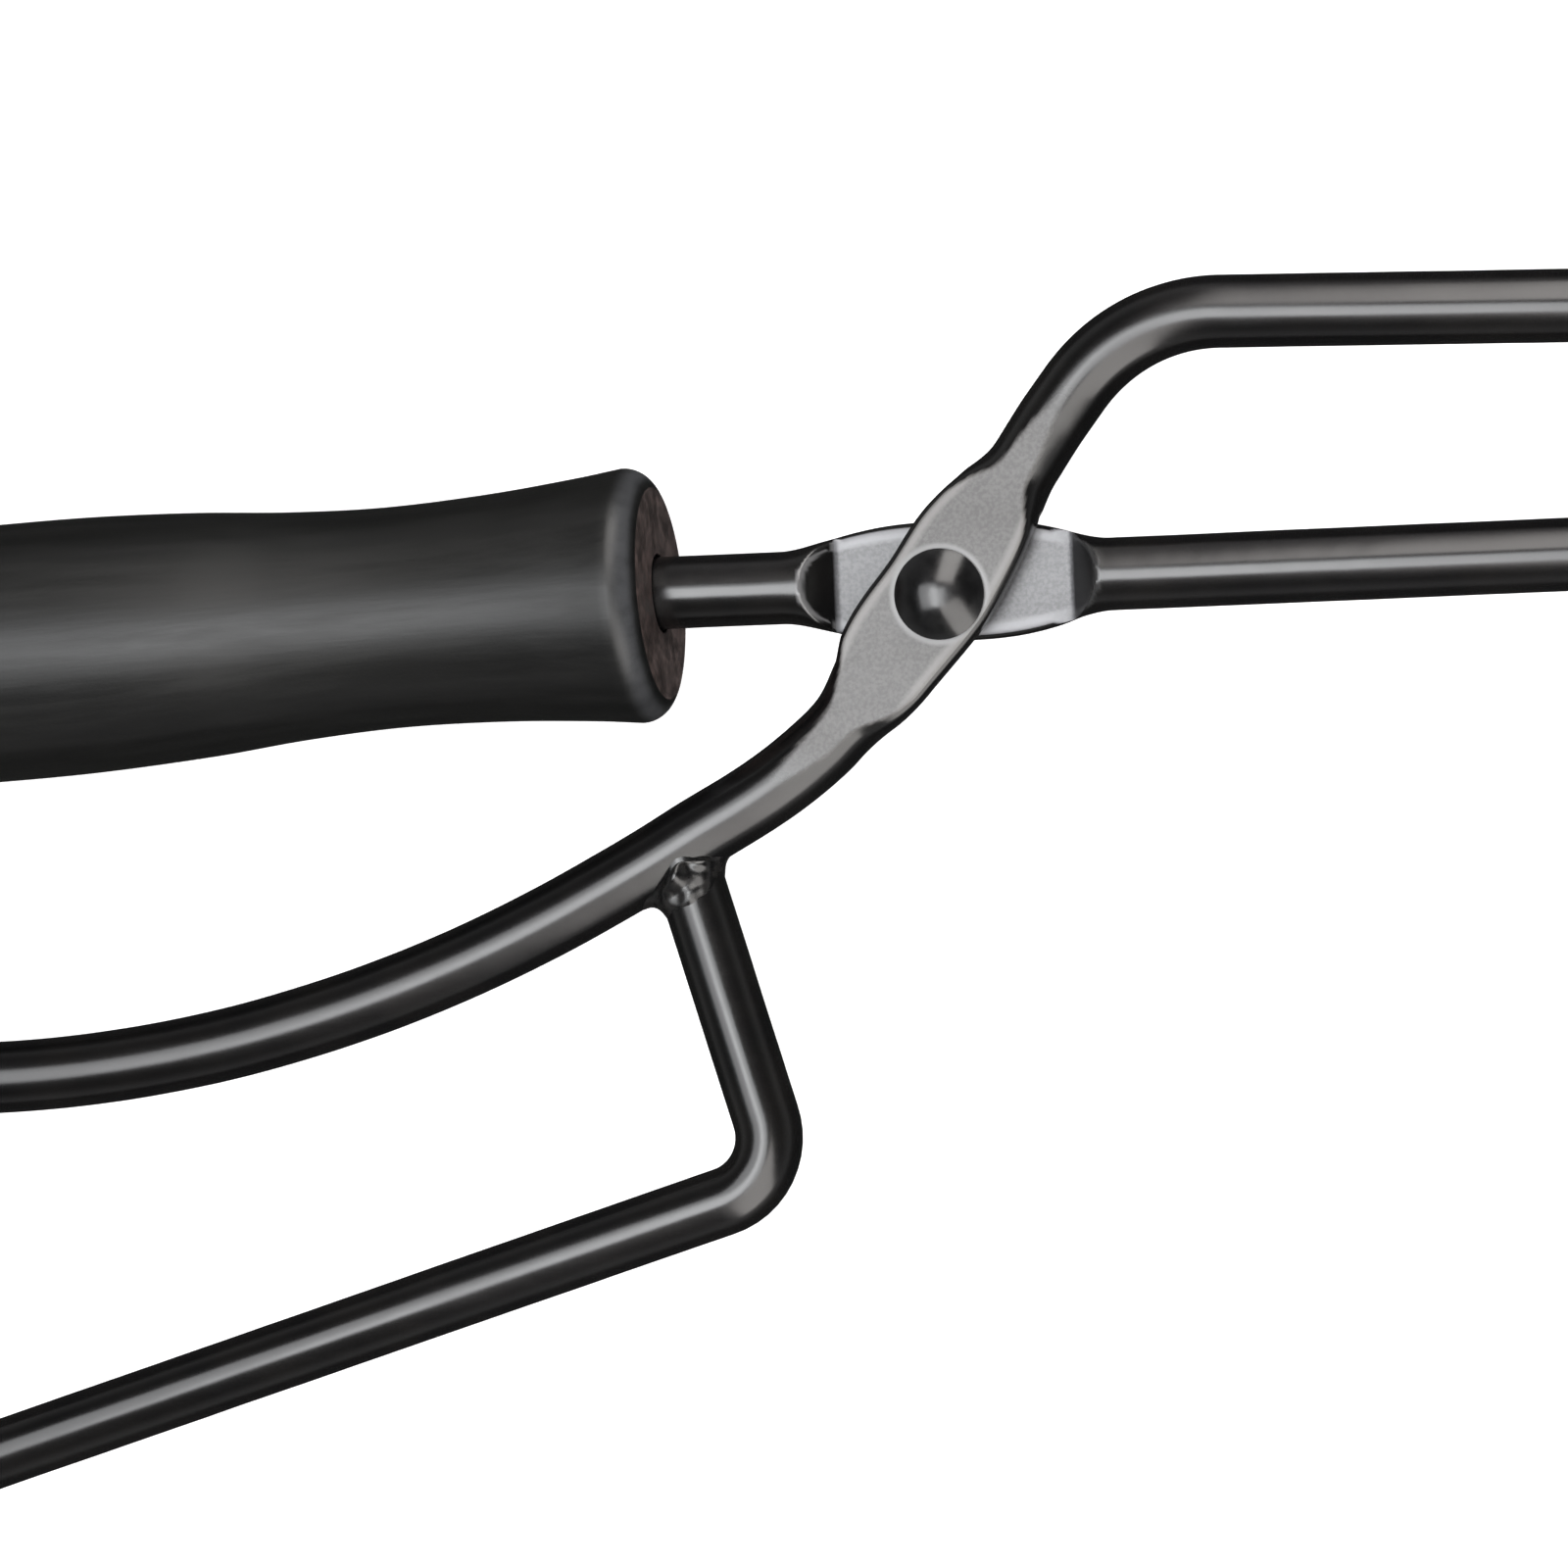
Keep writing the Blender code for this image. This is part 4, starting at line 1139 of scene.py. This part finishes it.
def make_grip():
    """Turned handle with a brown end-grain face at the front and a counterbored butt."""
    mesh = turned_mesh("grip_turned", grip_profile(), closed=True, sides=GRIP_SIDES)
    for vertex in mesh.vertices:
        if vertex.co.xy.length > GRIP_UNEVEN_FROM:
            swell = 1 + waver(vertex.co, 16 * MM, 0.004, 41)
            vertex.co.x *= swell
            vertex.co.y *= swell
    front_edge = GRIP_RADII[0][1] * MM - 0.6 * GRIP_FACE_ROUND

    # Painted highlight on the front rounding, where it catches the light.
    def front_highlight_at(co):
        off_face = ease(co.z, 0.25 * MM, 0.9 * MM) * (1 - ease(co.z, 1.2 * MM, 3.0 * MM))
        return off_face * ease(co.xy.length, front_edge - MM, front_edge)

    paint(mesh, "front_highlight", front_highlight_at)
    mesh.transform(grip_matrix(0.0))
    grip = add_object("grip_turned", mesh, stained_wood("wood_grip"))
    mesh.materials.append(end_grain("wood_end_grain"))
    forward = Vector((math.cos(TANG_DROOP), math.sin(TANG_DROOP), 0))
    for face in mesh.polygons:
        on_front = (face.center - Vector((GRIP_FRONT_X, ARM_Y, 0))).dot(forward) > -0.1 * MM
        if on_front and face.normal.dot(forward) > 0.9:
            face.material_index = 1
    settle(grip, ARM_BODY, "grip")


# ---------------------------------------------------------------- studio

def camera_axes():
    """The camera's right, up and backward directions."""
    right_flat = Vector((math.cos(CAMERA_ROLL), -math.sin(CAMERA_ROLL), 0))
    up = Vector((math.sin(CAMERA_ROLL), math.cos(CAMERA_ROLL), 0))
    right = right_flat * math.cos(CAMERA_TILT) - Vector((0, 0, math.sin(CAMERA_TILT)))
    return right, up, right.cross(up)


def make_camera():
    right, up, back = camera_axes()
    data = bpy.data.cameras.new("camera")
    data.lens = CAMERA_LENS
    data.sensor_width = CAMERA_SENSOR
    distance = VIEW_WIDTH * CAMERA_LENS / CAMERA_SENSOR
    camera = bpy.data.objects.new("camera", data)
    turn = Matrix((right, up, back)).transposed().to_4x4()
    camera.matrix_world = Matrix.Translation(PIVOT + VIEW_CENTRE + back * distance) @ turn
    bpy.context.scene.collection.objects.link(camera)
    bpy.context.scene.camera = camera


def softbox(name, towards, distance, width, height, radiance, colour):
    """A rectangular light in a direction from the pivot, facing it, of a stated radiance."""
    data = bpy.data.lights.new(name, "AREA")
    data.shape = "RECTANGLE"
    data.size = width
    data.size_y = height
    data.energy = radiance * math.pi * width * height
    data.color = colour
    light = bpy.data.objects.new(name, data)
    back = Vector(towards).normalized()
    light.location = PIVOT + back * distance
    overhead = abs(back.z) >= 0.95
    right = Vector((1, 0, 0)) if overhead else Vector((0, 0, 1)).cross(back).normalized()
    right = (right - back * right.dot(back)).normalized()
    light.rotation_euler = Matrix((right, back.cross(right), back)).transposed().to_euler()
    light.visible_camera = False
    bpy.context.scene.collection.objects.link(light)


def make_floor():
    bm = bmesh.new()
    bmesh.ops.create_grid(bm, x_segments=1, y_segments=1, size=FLOOR_SIZE)
    mesh = mesh_from(bm, "floor")
    floor = bpy.data.objects.new("floor", mesh)
    bpy.context.scene.collection.objects.link(floor)
    look = Shader("floor_white", roughness=0.9, specular=0.0)
    look.shader.inputs["Base Color"].default_value = (0.92, 0.92, 0.92, 1.0)
    look.shader.inputs["Emission Color"].default_value = (1.0, 1.0, 1.0, 1.0)
    look.shader.inputs["Emission Strength"].default_value = FLOOR_GLOW
    mesh.materials.append(look.material)
    floor.visible_glossy = False


def make_world():
    """A dark studio with a faint glow round the horizon, fading out below it and high above it."""
    world = bpy.data.worlds.new("studio")
    world.use_nodes = True
    tree = world.node_tree
    background = tree.nodes["Background"]
    background.inputs["Color"].default_value = (1.0, 1.0, 1.0, 1.0)
    place = tree.nodes.new("ShaderNodeTexCoord")
    split = tree.nodes.new("ShaderNodeSeparateXYZ")
    tree.links.new(place.outputs["Generated"], split.inputs["Vector"])
    lower = tree.nodes.new("ShaderNodeMath")
    lower.operation = "MINIMUM"
    ramps = (
        (-0.20, 0.0, STUDIO_DARK, HORIZON_GLOW), (0.04, 0.60, HORIZON_GLOW, STUDIO_DARK),
    )
    for socket, ramp in zip(lower.inputs, ramps):
        fade = tree.nodes.new("ShaderNodeMapRange")
        fade.interpolation_type = "SMOOTHSTEP"
        for key, value in zip(("From Min", "From Max", "To Min", "To Max"), ramp):
            fade.inputs[key].default_value = value
        tree.links.new(split.outputs["Z"], fade.inputs["Value"])
        tree.links.new(fade.outputs["Result"], socket)
    tree.links.new(lower.outputs["Value"], background.inputs["Strength"])
    bpy.context.scene.world = world


def make_lights():
    softbox("overhead_wide", (-0.40, -0.04, 0.915), 0.95, 0.66, 0.56, 2.4, COOL)
    softbox("overhead_core", (-0.12, -0.07, 0.99), 0.85, 0.36, 0.42, 3.8, COOL)
    softbox("north", (0.16, 0.75, 0.643), 0.9, 0.50, 1.08, 3.3, WARM)
    softbox("south_east", (0.366, -0.633, 0.682), 0.9, 0.56, 1.10, 2.6, WARM)


make_straight_arm()
make_thread()
make_lever_arm()
make_finger_bow()
lever_path = BentPath(LEVER_BENDS)
make_weld("front_weld_bead", "front_weld", BOW_BENDS[0], BOW_BENDS[1], lever_path, 51)
make_weld("rear_weld_bead", "rear_weld", BOW_BENDS[3], BOW_BENDS[2], lever_path, 63)
make_rivet()
make_rivet_washer()
make_butt_washer()
make_tang_nut()
make_grip()
make_camera()
make_floor()
make_world()
make_lights()
bpy.context.scene.view_settings.view_transform = "Standard"
